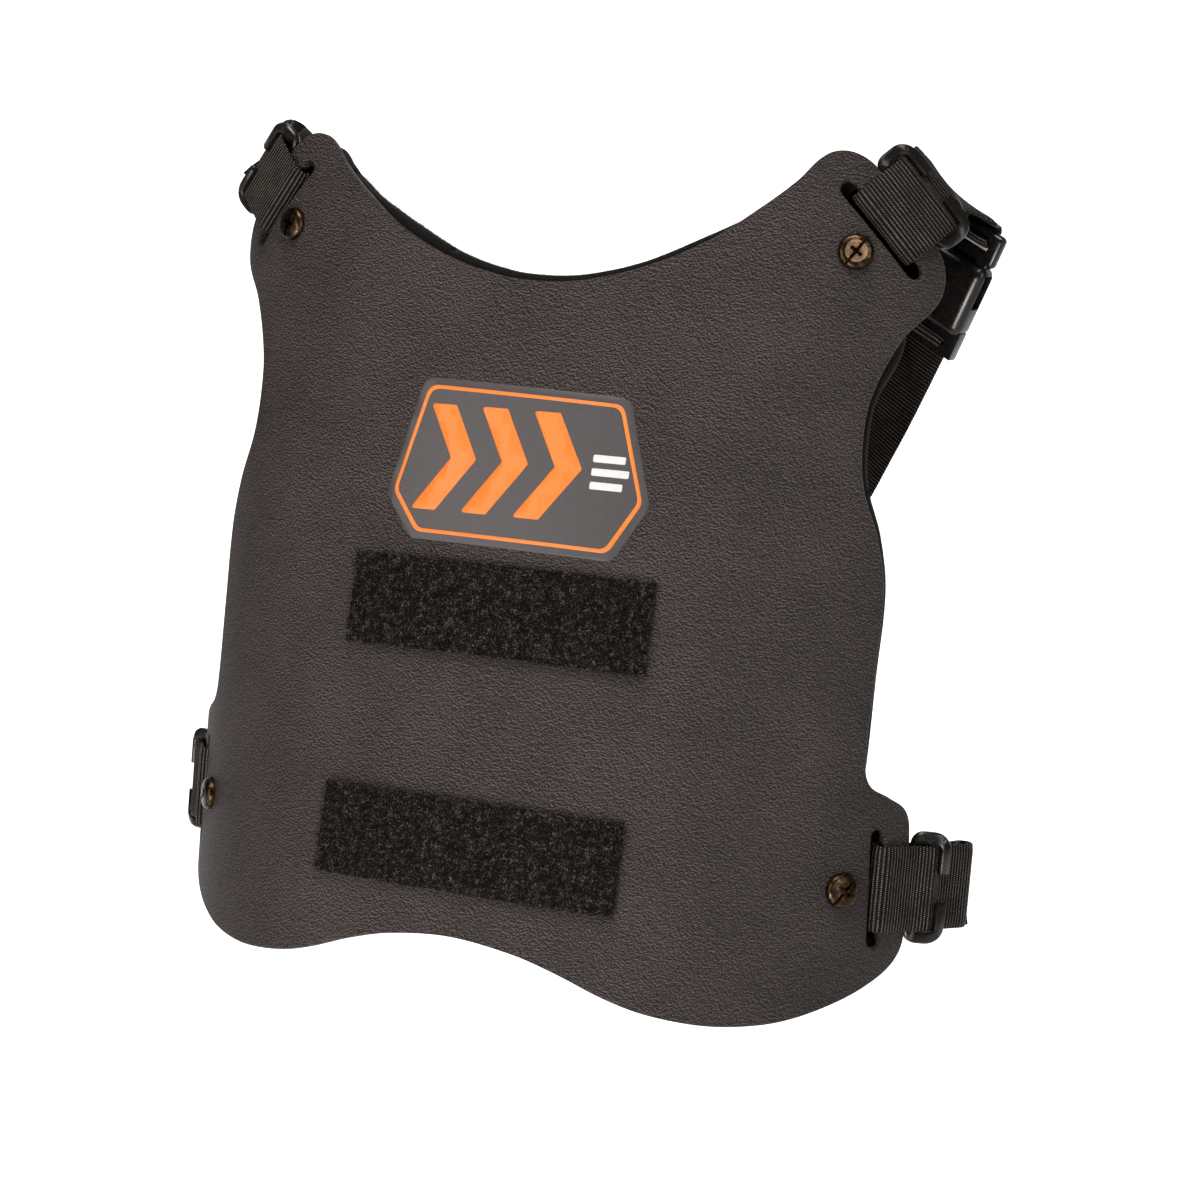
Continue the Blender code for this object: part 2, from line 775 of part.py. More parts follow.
def make_right_front_strap(parts, material, corner):
    """Right shoulder loop and the short run to the buckle's upper bar."""
    start = corner["shoulder", 1]
    first = shoulder_stations(start)
    bar, across, face = buckle_frame()
    wrap = bar_wrap(bar, BUCKLE_DOWN, face, across, *FRONT_WRAP)
    if first[-1][1].dot(wrap[0][1]) < 0:
        wrap = [(place, -width) for place, width in wrap]
    middle = smooth_stations([first[-1], wrap[0]])
    ribbon("webbing_right_front", first + middle[1:-1] + wrap, parts, material)


def make_right_back_strap(parts, material, corner):
    """From the buckle's lower bar across the back to the left waist loop."""
    finish = corner["waist", -1]
    bar, across, face = buckle_frame()
    low_bar = bar + BUCKLE_DOWN * (BUCKLE_FRAME + BUCKLE_SOCKET)
    wrap = bar_wrap(low_bar, -BUCKLE_DOWN, face, across, *BACK_WRAP)
    back = back_stations(1, 0)
    if wrap[-1][1].dot(back[0][1]) < 0:
        back = [(place, -width) for place, width in back]
    over = [
        (route_place(row, 1), wrap[-1][1].lerp(back[0][1], 0.5)) for row in RIGHT_SHOULDER_ROWS
    ]
    last = list(reversed(waist_stations(finish)))
    if back[-1][1].dot(last[0][1]) < 0:
        last = [(place, -width) for place, width in last]
    middle = smooth_stations([wrap[-1]] + over + back + [last[0]])
    ribbon("webbing_right_back", wrap + middle[1:-1] + last, parts, material)


def tube(name, places, thickness, parts, material, closed=False):
    curve = bpy.data.curves.new(name, "CURVE")
    curve.dimensions = "3D"
    curve.bevel_depth = thickness / 2
    curve.bevel_resolution = 1
    curve.use_fill_caps = True
    spline = curve.splines.new("POLY")
    spline.points.add(len(places) - 1)
    for point, place in zip(spline.points, places):
        point.co = (*place, 1)
    spline.use_cyclic_u = closed
    shaped = bpy.data.objects.new(name, curve)
    parts.objects.link(shaped)
    bpy.context.view_layer.update()
    graph = bpy.context.evaluated_depsgraph_get()
    mesh = bpy.data.meshes.new_from_object(shaped.evaluated_get(graph))
    bpy.data.objects.remove(shaped, do_unlink=True)
    work = bmesh.new()
    work.from_mesh(mesh)
    bmesh.ops.remove_doubles(work, verts=work.verts, dist=MERGE_GAP)
    bmesh.ops.recalc_face_normals(work, faces=work.faces)
    work.to_mesh(mesh)
    work.free()
    return mesh_object(name, mesh, parts, material)


def slider_rail_off(corner, u):
    share = (u - corner.inner) / SLIDER_REACH
    return INNER_BAR_OFF + (OUTER_BAR_OFF - INNER_BAR_OFF) * share


def make_slider(corner, parts, cutters, material):
    """Bent wire frame: hook, rail, inner bar, rail, hook, with a middle bar across."""
    half = WEB_WIDTH / 2 + SLIDER_SIDE_EASE + SLIDER_BAR / 2
    round_end = SLIDER_CORNER
    flat = []
    flat.append((corner.outer, SLIDER_MOUTH / 2))
    flat.append((corner.outer, half - round_end))
    for step in range(1, ARC_STEPS // 2):
        angle = math.pi / 2 * step / (ARC_STEPS // 2)
        flat.append(
            (
                corner.outer - round_end * (1 - math.cos(angle)),
                half - round_end * (1 - math.sin(angle)),
            )
        )
    flat.append((corner.outer - round_end, half))
    flat.append((corner.inner + round_end / 2, half))
    flat.append((corner.inner, half - round_end / 2))
    path = flat + [(u, -v) for u, v in reversed(flat)]
    places = [corner.at(u, slider_rail_off(corner, u), v) for u, v in path]
    name = f"{corner.slot['name']}_slider_{corner.slot['hand']}"
    frame = tube(name, places, SLIDER_BAR, parts, material)
    ends = [corner.at(corner.middle, middle_bar_off(), sign * half) for sign in (1, -1)]
    bar = tube(f"{name}_bar", ends, SLIDER_MIDDLE_SHARE * SLIDER_BAR, cutters, None)
    boolean(frame, bar, "UNION")


def flat_box(name, low, high, group):
    """A box between two corners, in the buckle's frame: across, face, down."""
    mesh = bpy.data.meshes.new(name)
    work = bmesh.new()
    bmesh.ops.create_cube(work, size=1)
    middle = [(a + b) / 2 for a, b in zip(low, high)]
    size = [b - a for a, b in zip(low, high)]
    for vert in work.verts:
        vert.co = Vector([m + c * s for m, c, s in zip(middle, vert.co, size)])
    work.to_mesh(mesh)
    work.free()
    return mesh_object(name, mesh, group)


def place_buckle(made):
    settle(made)
    bar, across, face = buckle_frame()
    turn = Matrix((face.cross(BUCKLE_DOWN), face, BUCKLE_DOWN)).transposed()
    made.matrix_world = Matrix.Translation(bar) @ turn.to_4x4()


def make_buckle_plug(parts, cutters, material):
    """Upper half: a strap frame with two springy arms and a guide between them."""
    half = BUCKLE_WIDTH / 2
    thick = BUCKLE_MALE_THICK / 2
    bar = BUCKLE_BAR / 2
    inside = half - BUCKLE_WALL - FIT_GAP
    frame_end = BUCKLE_FRAME - FIT_GAP
    plug = flat_box("buckle_plug", (-half, -thick, -bar), (half, thick, frame_end), parts)
    round_rim(plug, BUCKLE_FRAME_ROUND)
    gap_far = frame_end - BUCKLE_BAR
    window = flat_box(
        "plug_window",
        (-WEB_WIDTH / 2 - WEB_EASE, -BUCKLE_THICK, bar),
        (WEB_WIDTH / 2 + WEB_EASE, BUCKLE_THICK, gap_far),
        cutters,
    )
    boolean(plug, window, "DIFFERENCE")
    reach = BUCKLE_FRAME + BUCKLE_SOCKET * PLUG_SHARE
    for sign, label in ((1, "near"), (-1, "far")):
        arm = flat_box(
            f"plug_arm_{label}",
            (min(sign * inside, sign * (inside - BUCKLE_ARM)), -thick, gap_far + bar / 2),
            (max(sign * inside, sign * (inside - BUCKLE_ARM)), thick, reach),
            cutters,
        )
        boolean(plug, arm, "UNION")
    guide = flat_box(
        "plug_guide",
        (-BUCKLE_ARM / 2, -thick, gap_far + bar / 2),
        (BUCKLE_ARM / 2, thick, reach),
        cutters,
    )
    boolean(plug, guide, "UNION")
    place_buckle(plug)
    plug.data.materials.append(material)


def make_buckle_socket(parts, cutters, material):
    """Lower half: a flat sleeve, open at its side windows, with its own strap bar."""
    half = BUCKLE_WIDTH / 2
    thick = BUCKLE_THICK / 2
    start = BUCKLE_FRAME
    low_bar = BUCKLE_FRAME + BUCKLE_SOCKET
    bar = BUCKLE_BAR / 2
    pocket_end = start + BUCKLE_SOCKET * PLUG_SHARE + PLUG_END_GAP
    body_end = pocket_end + BUCKLE_WALL
    socket = flat_box("buckle_socket", (-half, -thick, start), (half, thick, body_end), parts)
    round_rim(socket, BUCKLE_WALL / 2)
    frame = flat_box(
        "socket_frame",
        (-half, -BUCKLE_MALE_THICK / 2, body_end - BUCKLE_WALL / 2),
        (half, BUCKLE_MALE_THICK / 2, low_bar + bar),
        cutters,
    )
    boolean(socket, frame, "UNION")
    pocket = flat_box(
        "socket_pocket",
        (-half + BUCKLE_WALL, -BUCKLE_MALE_THICK / 2 - FIT_GAP, start - FIT_GAP),
        (half - BUCKLE_WALL, BUCKLE_MALE_THICK / 2 + FIT_GAP, pocket_end),
        cutters,
    )
    boolean(socket, pocket, "DIFFERENCE")
    sides = flat_box(
        "socket_windows",
        (-BUCKLE_WIDTH, -BUCKLE_MALE_THICK / 2 - FIT_GAP, start + BUCKLE_WALL),
        (BUCKLE_WIDTH, BUCKLE_MALE_THICK / 2 + FIT_GAP, start + BUCKLE_WALL + BUCKLE_WINDOW),
        cutters,
    )
    boolean(socket, sides, "DIFFERENCE")
    strap_gap = flat_box(
        "socket_strap_gap",
        (-WEB_WIDTH / 2 - WEB_EASE, -BUCKLE_THICK, body_end),
        (WEB_WIDTH / 2 + WEB_EASE, BUCKLE_THICK, low_bar - bar),
        cutters,
    )
    boolean(socket, strap_gap, "DIFFERENCE")
    place_buckle(socket)
    socket.data.materials.append(material)


def main():
    clear_scene()
    parts = make_collection("chest_protector")
    cutters = make_collection("cutters")
    finish = {name: make_material(name) for name in COLOURS}
    make_shell(parts, cutters, finish["shell"])
    make_pad(parts, cutters, finish["foam"])
    make_strips(parts, finish["loop"])
    make_screws(parts, finish["screw"])
    corner = corners()
    for frame in corner.values():
        make_slider(frame, parts, cutters, finish["fitting"])
    make_left_strap(parts, finish["webbing"], corner)
    make_right_front_strap(parts, finish["webbing"], corner)
    make_right_back_strap(parts, finish["webbing"], corner)
    make_buckle_plug(parts, cutters, finish["fitting"])
    make_buckle_socket(parts, cutters, finish["fitting"])


main()
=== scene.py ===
# %% [markdown]
# # A chest protector in Blender
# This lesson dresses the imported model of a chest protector: a moulded plate that curves round
# the chest, a foam pad behind it, two strips of loop pile, four screws, and a webbing harness
# with four split bar sliders and one side release buckle.
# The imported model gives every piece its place. The visible pieces are rebuilt here with finer
# meshes, in the same coordinates: metres, +Z up, with the front of the plate facing -Y.

# %% The frame and its size
import json
import math
import random

import bmesh
import bpy
from mathutils import Matrix, Vector

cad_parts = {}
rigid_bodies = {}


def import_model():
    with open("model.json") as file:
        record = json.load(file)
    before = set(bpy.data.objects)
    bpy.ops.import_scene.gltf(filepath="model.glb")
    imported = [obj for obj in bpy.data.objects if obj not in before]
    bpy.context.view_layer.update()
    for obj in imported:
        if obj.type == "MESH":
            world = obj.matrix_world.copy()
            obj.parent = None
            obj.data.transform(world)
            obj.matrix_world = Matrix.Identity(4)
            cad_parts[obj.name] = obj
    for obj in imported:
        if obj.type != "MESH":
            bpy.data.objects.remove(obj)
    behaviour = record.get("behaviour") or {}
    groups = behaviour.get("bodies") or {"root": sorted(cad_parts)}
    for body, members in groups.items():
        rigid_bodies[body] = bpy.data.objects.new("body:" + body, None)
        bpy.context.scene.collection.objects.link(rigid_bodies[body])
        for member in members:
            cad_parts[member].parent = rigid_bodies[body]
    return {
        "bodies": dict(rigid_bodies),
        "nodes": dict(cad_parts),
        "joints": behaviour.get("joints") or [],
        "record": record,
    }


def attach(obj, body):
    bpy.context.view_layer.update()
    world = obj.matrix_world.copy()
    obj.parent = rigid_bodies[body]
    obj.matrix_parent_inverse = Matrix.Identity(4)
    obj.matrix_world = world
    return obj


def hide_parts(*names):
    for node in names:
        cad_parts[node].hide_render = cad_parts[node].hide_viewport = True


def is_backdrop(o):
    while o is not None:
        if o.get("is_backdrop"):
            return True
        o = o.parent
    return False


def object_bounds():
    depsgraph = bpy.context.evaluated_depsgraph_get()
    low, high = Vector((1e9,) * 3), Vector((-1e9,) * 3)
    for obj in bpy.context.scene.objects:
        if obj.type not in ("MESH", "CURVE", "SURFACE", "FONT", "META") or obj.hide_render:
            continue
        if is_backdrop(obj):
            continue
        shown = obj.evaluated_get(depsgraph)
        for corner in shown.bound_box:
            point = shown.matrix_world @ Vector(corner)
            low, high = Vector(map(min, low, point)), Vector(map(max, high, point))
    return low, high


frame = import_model()
nodes = frame["nodes"]
cad_low, cad_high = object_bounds()
scene = bpy.context.scene
MM = 0.001
print("nodes:", len(nodes))
print("size in mm:", [round((b - a) / MM, 1) for a, b in zip(cad_low, cad_high)])


def new_piece(name, points, faces, linked=True):
    """An object made from points and faces."""
    mesh = bpy.data.meshes.new(name)
    mesh.from_pydata(points, [], faces)
    piece = bpy.data.objects.new(name, mesh)
    if linked:
        scene.collection.objects.link(piece)
    return piece


# %% [markdown]
# ## Camera
# The picture was taken from the object's right and a little below its middle, with the camera
# rolled by 8 degrees. A camera can be aimed with a Track To constraint, but that can't hold a
# roll, so its three directions are written down as a rotation matrix instead.

# %% Camera
to_right = Vector((0.9206, 0.3650, 0.1386))
to_floor = Vector((0.1024, 0.1168, -0.9879))
ahead = Vector((-0.3768, 0.9236, 0.0702))
camera_data = bpy.data.cameras.new("camera")
camera_data.lens = 72.03
camera_data.sensor_width = 36
camera = bpy.data.objects.new("camera", camera_data)
scene.collection.objects.link(camera)
turned = Matrix((to_right, -to_floor, -ahead)).transposed().to_4x4()
camera.matrix_world = Matrix.Translation((0.2937, -0.6504, -0.0519)) @ turned
scene.camera = camera
print("camera is", round((camera.location - (cad_low + cad_high) / 2).length, 3), "m away")

# %% [markdown]
# ## Studio
# Dark plastic shows mostly what it mirrors. An even white room would lay a grey veil over it
# and hide the grain, so the room in front is nearly dark and only soft boxes light it: a tall
# one at the left, one high up, and two weak ones at the right and low in front. The camera
# itself sees a pale room, so the picture stays light from any side. Behind the object, a pale
# sweep glows, as a lit paper backdrop does, and draws a thin line of light on the edges.

# %% Studio
ROOM_GLOW = 0.08
ROOM_SEEN = (0.85, 0.85, 0.85, 1)
WARM = (1.0, 0.93, 0.89)

scene.view_settings.view_transform = "Standard"
world = bpy.data.worlds.new("studio")
scene.world = world
world.use_nodes = True
tree = world.node_tree
dim = tree.nodes["Background"]
dim.inputs["Color"].default_value = (1.0, 0.97, 0.95, 1)
dim.inputs["Strength"].default_value = ROOM_GLOW
pale = tree.nodes.new("ShaderNodeBackground")
pale.inputs["Color"].default_value = ROOM_SEEN
ray = tree.nodes.new("ShaderNodeLightPath")
choice = tree.nodes.new("ShaderNodeMixShader")
for source, target in (
    (ray.outputs["Is Camera Ray"], choice.inputs[0]),
    (dim.outputs[0], choice.inputs[1]),
    (pale.outputs[0], choice.inputs[2]),
    (choice.outputs[0], tree.nodes["World Output"].inputs["Surface"]),
):
    tree.links.new(source, target)


def soft_box(name, place, target, width, height, power, colour=WARM):
    """A rectangular lamp at a place, aimed at a target."""
    data = bpy.data.lights.new(name, "AREA")
    data.shape = "RECTANGLE"
    data.size = width
    data.size_y = height
    data.energy = power
    data.color = colour
    lamp = bpy.data.objects.new(name, data)
    scene.collection.objects.link(lamp)
    lamp.location = place
    aim = (Vector(target) - Vector(place)).to_track_quat("-Z", "Y")
    lamp.rotation_euler = aim.to_euler()


soft_box("tall_left", (-0.62, -1.15, -0.10), (0, 0, -0.04), 0.45, 0.75, 6)
soft_box("high", (0.05, -0.75, 1.15), (0, 0, 0), 0.9, 0.45, 15.5)
soft_box("low_right", (1.15, -0.65, 0.15), (0, 0, 0), 0.35, 0.9, 3.4, (1, 1, 1))
soft_box("low_front", (0.02, -0.6, -0.5), (0, 0, -0.03), 0.3, 0.2, 4)

FLOOR_LEVEL = cad_low.z - 0.55
FLOOR_START = -1.4
FLOOR_BREAK = 0.4
WALL_PLACE = 2.4
WALL_HEIGHT = 4.0
SWEEP_HALF_WIDTH = 4.0
SWEEP_RADIUS = 0.9
SWEEP_STEPS = 16


def make_sweep():
    """Floor and wall in one curved sheet, so that no line shows where they meet."""
    bend_start = WALL_PLACE - SWEEP_RADIUS
    profile = [(y, FLOOR_LEVEL) for y in (FLOOR_START, FLOOR_BREAK, bend_start)]
    for step in range(1, SWEEP_STEPS + 1):
        angle = math.pi / 2 * step / SWEEP_STEPS
        rise = SWEEP_RADIUS * (1 - math.cos(angle))
        profile.append((bend_start + SWEEP_RADIUS * math.sin(angle), FLOOR_LEVEL + rise))
    profile.append((WALL_PLACE, FLOOR_LEVEL + WALL_HEIGHT))
    points = []
    for y, z in profile:
        points += [(-SWEEP_HALF_WIDTH, y, z), (SWEEP_HALF_WIDTH, y, z)]
    faces = [(2 * k, 2 * k + 1, 2 * k + 3, 2 * k + 2) for k in range(len(profile) - 1)]
    sweep = new_piece("floor", points, faces)
    sweep.data.shade_smooth()
    return sweep


floor = make_sweep()

# %% [markdown]
# ## Writing shader maths in Python
# A grain or a weave is a sum of waves and noise. Wiring each Math node by hand is slow to read,
# so one small class wraps a node's output and turns +, - and * into Math nodes. Any other node
# comes from one method that takes the type, the settings and the inputs.

# %% Shader helper


class Wire:
    """One output socket that can be used in sums."""

    def __init__(self, tree, socket):
        self.tree = tree
        self.socket = socket

    def node(self, kind, settings=None, out=0, **inputs):
        """A new node: its type, its settings, and the values or links of its inputs."""
        made = self.tree.nodes.new(kind)
        for name, value in (settings or {}).items():
            if name == "stops":
                fill_ramp(made.color_ramp, value)
            else:
                setattr(made, name, value)
        for name, value in inputs.items():
            key = int(name[1:]) if name[1:].isdigit() else name.replace("_", " ")
            if isinstance(value, Wire):
                self.tree.links.new(value.socket, made.inputs[key])
            else:
                made.inputs[key].default_value = value
        return Wire(self.tree, made.outputs[out])

    def math(self, operation, *values):
        inputs = {f"i{k}": value for k, value in enumerate(values)}
        return self.node("ShaderNodeMath", {"operation": operation}, **inputs)

    def __add__(self, other):
        return self.math("ADD", self, other)

    __radd__ = __add__

    def __sub__(self, other):
        return self.math("SUBTRACT", self, other)

    def __rsub__(self, other):
        return self.math("SUBTRACT", other, self)

    def __mul__(self, other):
        return self.math("MULTIPLY", self, other)

    __rmul__ = __mul__

    def __truediv__(self, other):
        return self.math("DIVIDE", self, other)

    def clamped(self):
        return self.math("MINIMUM", self.math("MAXIMUM", self, 0.0), 1.0)

    def sine(self):
        return self.math("SINE", self)

    def size(self):
        return self.math("ABSOLUTE", self)

    def whole(self):
        return self.math("FLOOR", self)


def fill_ramp(ramp, stops):
    """Sets a colour ramp's stops, each a position and a colour."""
    while len(ramp.elements) > 1:
        ramp.elements.remove(ramp.elements[-1])
    ramp.elements[0].position = stops[0][0]
    ramp.elements[0].color = stops[0][1]
    for position, colour in stops[1:]:
        ramp.elements.new(position).color = colour


class Finish:
    """A material with one Principled shader, and the coordinates to build on."""

    def __init__(self, name, **sockets):
        self.material = bpy.data.materials.new(name)
        self.material.use_nodes = True
        self.tree = self.material.node_tree
        self.shader = self.tree.nodes["Principled BSDF"]
        for key, value in sockets.items():
            self.shader.inputs[key.replace("_", " ")].default_value = value
        self.any = Wire(self.tree, None)

    def place(self):
        """Object coordinates in millimetres, the same on every piece."""
        spot = self.any.node("ShaderNodeTexCoord", out=3)
        scale = {"operation": "SCALE"}
        return self.any.node("ShaderNodeVectorMath", scale, i0=spot, i3=1 / MM)

    def uv(self, layer):
        return self.any.node("ShaderNodeUVMap", {"uv_map": layer})

    def split(self, vector):
        """The x and y of a vector."""
        x = self.any.node("ShaderNodeSeparateXYZ", i0=vector)
        return x, Wire(self.tree, x.socket.node.outputs[1])

    def noise(self, where, scale, detail=2.0, roughness=0.5, distortion=0.0):
        return self.any.node(
            "ShaderNodeTexNoise",
            Vector=where,
            Scale=scale,
            Detail=detail,
            Roughness=roughness,
            Distortion=distortion,
        )

    def paint(self, value, *stops, socket="Base Color"):
        """Colours the surface by a value; each stop is a position, then red, green and blue."""
        stops = [(position, (*colour, 1)) for position, *colour in stops]
        self.set(socket, self.any.node("ShaderNodeValToRGB", {"stops": stops}, i0=value))

    def set(self, name, wire):
        self.tree.links.new(wire.socket, self.shader.inputs[name])

    def relief(self, height, distance, strength=1.0):
        """Bump of the given depth in millimetres."""
        bump = self.any.node(
            "ShaderNodeBump", Height=height, Distance=distance * MM, Strength=strength
        )
        self.set("Normal", bump)


# %% [markdown]
# ## The paper sweep
# The paper is pale everywhere, and it glows only behind the object. The glow is an emission
# colour that rises with depth, so the paper in front doesn't shine up onto the plate.

# %% Paper
GLOW_START = 150.0
GLOW_SPAN = 500.0

paper = Finish("pale_paper", Roughness=0.95, Specular_IOR_Level=0.0, Emission_Strength=1.0)
paper.shader.inputs["Base Color"].default_value = (0.82, 0.82, 0.82, 1)
_, depth = paper.split(paper.place())
glow = ((depth - GLOW_START) / GLOW_SPAN).clamped()
paper.paint(glow, (0.0, 0, 0, 0), (1.0, 1, 1, 1), socket="Emission Color")
floor.data.materials.append(paper.material)
floor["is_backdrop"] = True

# %% [markdown]
# ## Finish of the plate
# The plate is dark plastic with a fine leather grain, pressed in when the sheet was made. The
# grain is a field of small wavy pebbles, a little wider than tall. It is far too fine for
# geometry, so it goes in as bump. The colour carries painted light from above: the side of
# each pebble that looks up is painted lighter, the side that looks down darker. The difference
# between the field and the same field a little higher gives those sides. Near the side edges
# this painted light is weaker.

# %% Plate finish
GRAIN_STRETCH = (0.86, 0.86, 1.12)
# Shift of the field that gives the painted light from above, mostly upward.
LIGHT_FROM_ABOVE_SHIFT = (0.05, 0.0, 0.24)
GRAIN_SCALE = 1.6
# Where the painted light from above starts to fade towards the side edges, and how wide the fade
# is, in millimetres.
LIGHT_FADE_START = 55.0
LIGHT_FADE_SPAN = 70.0

plate_finish = Finish("grained_plastic", Specular_IOR_Level=0.3)
where = plate_finish.place()
wide = {"operation": "MULTIPLY"}
raised = {"operation": "ADD"}
stretched = plate_finish.any.node("ShaderNodeVectorMath", wide, i0=where, i1=GRAIN_STRETCH)
above = plate_finish.any.node("ShaderNodeVectorMath", raised, i0=stretched, i1=LIGHT_FROM_ABOVE_SHIFT)
pebbles = plate_finish.noise(stretched, GRAIN_SCALE, 2.0, 0.55, 0.4)
higher = plate_finish.noise(above, GRAIN_SCALE, 2.0, 0.55, 0.4)
fine = plate_finish.noise(stretched, 3.0, 2.0, 0.6)
broad = plate_finish.noise(where, 0.035, 3.0)
side, _ = plate_finish.split(where)
# Share by which the painted light from above fades near the side edges.
painted_light_fade = ((side.size() - LIGHT_FADE_START) / LIGHT_FADE_SPAN).clamped()
plate_finish.relief(pebbles * 1.2 + fine * 0.3, 0.7)
# Painted light from above: lighter where a pebble looks up, darker where it looks down; the fine
# and broad fields add random tone.
shade = (pebbles - higher) * (3.4 - painted_light_fade * 1.7)
plate_finish.paint(
    (shade + (fine - 0.5) * 0.5 + (broad - 0.5) * 0.3 + 0.5).clamped(),
    (0.22, 0.0014, 0.0011, 0.001),
    (0.5, 0.0082, 0.0066, 0.0061),
    (0.84, 0.104, 0.084, 0.077),
)
plate_finish.set("Roughness", (0.42 + fine * 0.14 + broad * 0.08).clamped())

# %% [markdown]
# ## Finishes of the cloth pieces
# Three kinds of cloth show: the napped cover of the pad, the loop pile of the strips, and the
# woven webbing. Nap and pile are real short fibres further down, so their materials only need
# a dark ground and a little sheen: a real sheen on the pad, and on the pile bright specks in
# its colour, which are painted highlights. The webbing has its ribs in the mesh, and its
# material adds the single yarns along each rib, laid out by a UV map that measures the strap in
# millimetres. Its colour is lighter on the crests of the ribs, a painted highlight.

# %% Cloth finishes
pad_finish = Finish("pad_cover", Roughness=0.95, Sheen_Weight=0.06, Specular_IOR_Level=0.15)
where = pad_finish.place()
knots = pad_finish.noise(where, 1.6, 4.0, 0.7)
patches = pad_finish.noise(where, 0.12, 2.0)
pad_finish.relief(knots, 0.5, 0.8)
pad_finish.paint(
    (knots * 0.7 + patches * 0.3).clamped(),
    (0.3, 0.002, 0.0018, 0.0016),
    (0.8, 0.010, 0.009, 0.008),
)

pile_finish = Finish("loop_pile", Roughness=0.75, Specular_IOR_Level=0.12)
where = pile_finish.place()
tufts = pile_finish.noise(where, 0.5, 3.0, 0.65)
# Small specks: real bump, and in the colour below the bright ones are painted highlights on the
# fibres.
specks_and_glints = pile_finish.noise(where, 1.8, 2.0, 0.6)
pile_finish.relief(tufts * 0.5 + specks_and_glints * 0.5, 0.4, 0.8)
# The top stop of this colour is the painted highlight on the fibres; the lower stops are the pile's
# own dark tone.
pile_finish.paint(
    (tufts * 0.35 + specks_and_glints * 0.65).clamped(),
    (0.46, 0.0012, 0.001, 0.0009),
    (0.55, 0.012, 0.0102, 0.0088),
    (0.64, 0.155, 0.135, 0.117),
)

RIB_PITCH = 1.1
YARN_PITCH = 0.62
web_finish = Finish("webbing_weave", Specular_IOR_Level=0.15)
run, across = web_finish.split(web_finish.uv("weave"))
ribs = run / MM / RIB_PITCH
yarns = across / MM / YARN_PITCH + ribs.whole() * 0.5
yarn = (yarns * math.pi).sine().size()
rib = (ribs * math.pi).sine().size()
fuzz = web_finish.noise(web_finish.place(), 3.2, 3.0, 0.65)
wear = web_finish.noise(web_finish.place(), 0.16, 2.0)
web_finish.relief(yarn * 0.55 + rib * 0.25 + fuzz * 0.35, 0.22, 0.9)
# Painted highlight: the colour is lighter on the crests of the ribs and the yarns; fuzz and wear
# add random tone.
crest_highlight = rib * rib * (yarn * 0.7 + 0.3)
web_finish.paint(
    (crest_highlight * 0.85 + (fuzz - 0.5) * 0.8 + (wear - 0.5) * 0.3).clamped(),
    (0.15, 0.0016, 0.0014, 0.0012),
    (0.5, 0.0058, 0.005, 0.0044),
    (0.85, 0.185, 0.158, 0.136),
)
web_finish.set("Roughness", (0.5 + fuzz * 0.3).clamped())

# %% [markdown]
# ## Finishes of the fittings
# The sliders and the buckle are black moulded plastic, smooth enough to catch a soft line of
# light along each edge. The screws are steel with a dark bronze finish that has worn off the
# flat middle, where bare copper colour shows.

# %% Fitting finishes
fitting_finish = Finish("black_moulding")
where = fitting_finish.place()
haze = fitting_finish.noise(where, 0.5, 3.0)
pits = fitting_finish.noise(where, 6.0, 2.0)
fitting_finish.relief(pits, 0.02, 0.5)
fitting_finish.paint(haze, (0.3, 0.0045, 0.004, 0.0037), (0.8, 0.009, 0.008, 0.0072))
fitting_finish.set("Roughness", (0.17 + haze * 0.14 + pits * 0.05).clamped())

bronze_finish = Finish("dark_bronze", Metallic=1.0)
smears = bronze_finish.noise(bronze_finish.place(), 0.7, 3.0, 0.6, 0.6)
bronze_finish.paint(
    smears, (0.35, 0.018, 0.013, 0.009), (0.55, 0.06, 0.038, 0.022), (0.75, 0.22, 0.14, 0.08)
)
bronze_finish.set("Roughness", (0.2 + smears * 0.25).clamped())

copper_finish = Finish("worn_copper", Metallic=1.0)
rubs = copper_finish.noise(copper_finish.place(), 1.8, 3.0, 0.7, 0.4)
copper_finish.paint(
    rubs, (0.3, 0.22, 0.12, 0.065), (0.55, 0.52, 0.33, 0.2), (0.8, 0.8, 0.6, 0.42)
)
copper_finish.set("Roughness", (0.25 + rubs * 0.3).clamped())
print("finishes:", len(bpy.data.materials))

# %% [markdown]
# ## The plate's curve
# The real plate is a flat sheet, heated and bent over a form. Working in the same order keeps
# everything simple: outlines, slots and prints are drawn flat, then one function bends a flat
# place onto the curve. It is the same rule as in the CAD model, so the fine pieces land on it.

# %% Bending flat places onto the plate
FIT_GAP = 0.3 * MM
PLATE_HALF_WIDTH = 140 * MM
PLATE_HEIGHT = 253 * MM
PLATE_WALL = 3 * MM
PAD_THICK = 8 * MM
FRONT_DEPTH = PLATE_WALL + FIT_GAP + PAD_THICK
TURN_REACH = 120 * MM
WAIST_EVEN_TURN = math.radians(33)
WAIST_EDGE_TURN = math.radians(17)
SHOULDER_EVEN_TURN = math.radians(6)
SHOULDER_EDGE_TURN = math.radians(36)
TURN_LEVEL = 100 * MM
LEVEL_LIMITS = (-0.2, 1.2)
WALK_STEPS = 10


def turn_at(across, up):
    """Angle that the plate has turned back at a place."""
    level = min(max(0.5 + 0.5 * up / TURN_LEVEL, LEVEL_LIMITS[0]), LEVEL_LIMITS[1])
    even = WAIST_EVEN_TURN + (SHOULDER_EVEN_TURN - WAIST_EVEN_TURN) * level
    edge = WAIST_EDGE_TURN + (SHOULDER_EDGE_TURN - WAIST_EDGE_TURN) * level
    share = across / TURN_REACH
    return even * share + edge * share**3


def on_front(across, up):
    x = 0.0
    y = -FRONT_DEPTH
    step = across / WALK_STEPS
    for index in range(WALK_STEPS):
        turn = turn_at(step * (index + 0.5), up)
        x += step * math.cos(turn)
        y += step * math.sin(turn)
    return Vector((x, y, up))


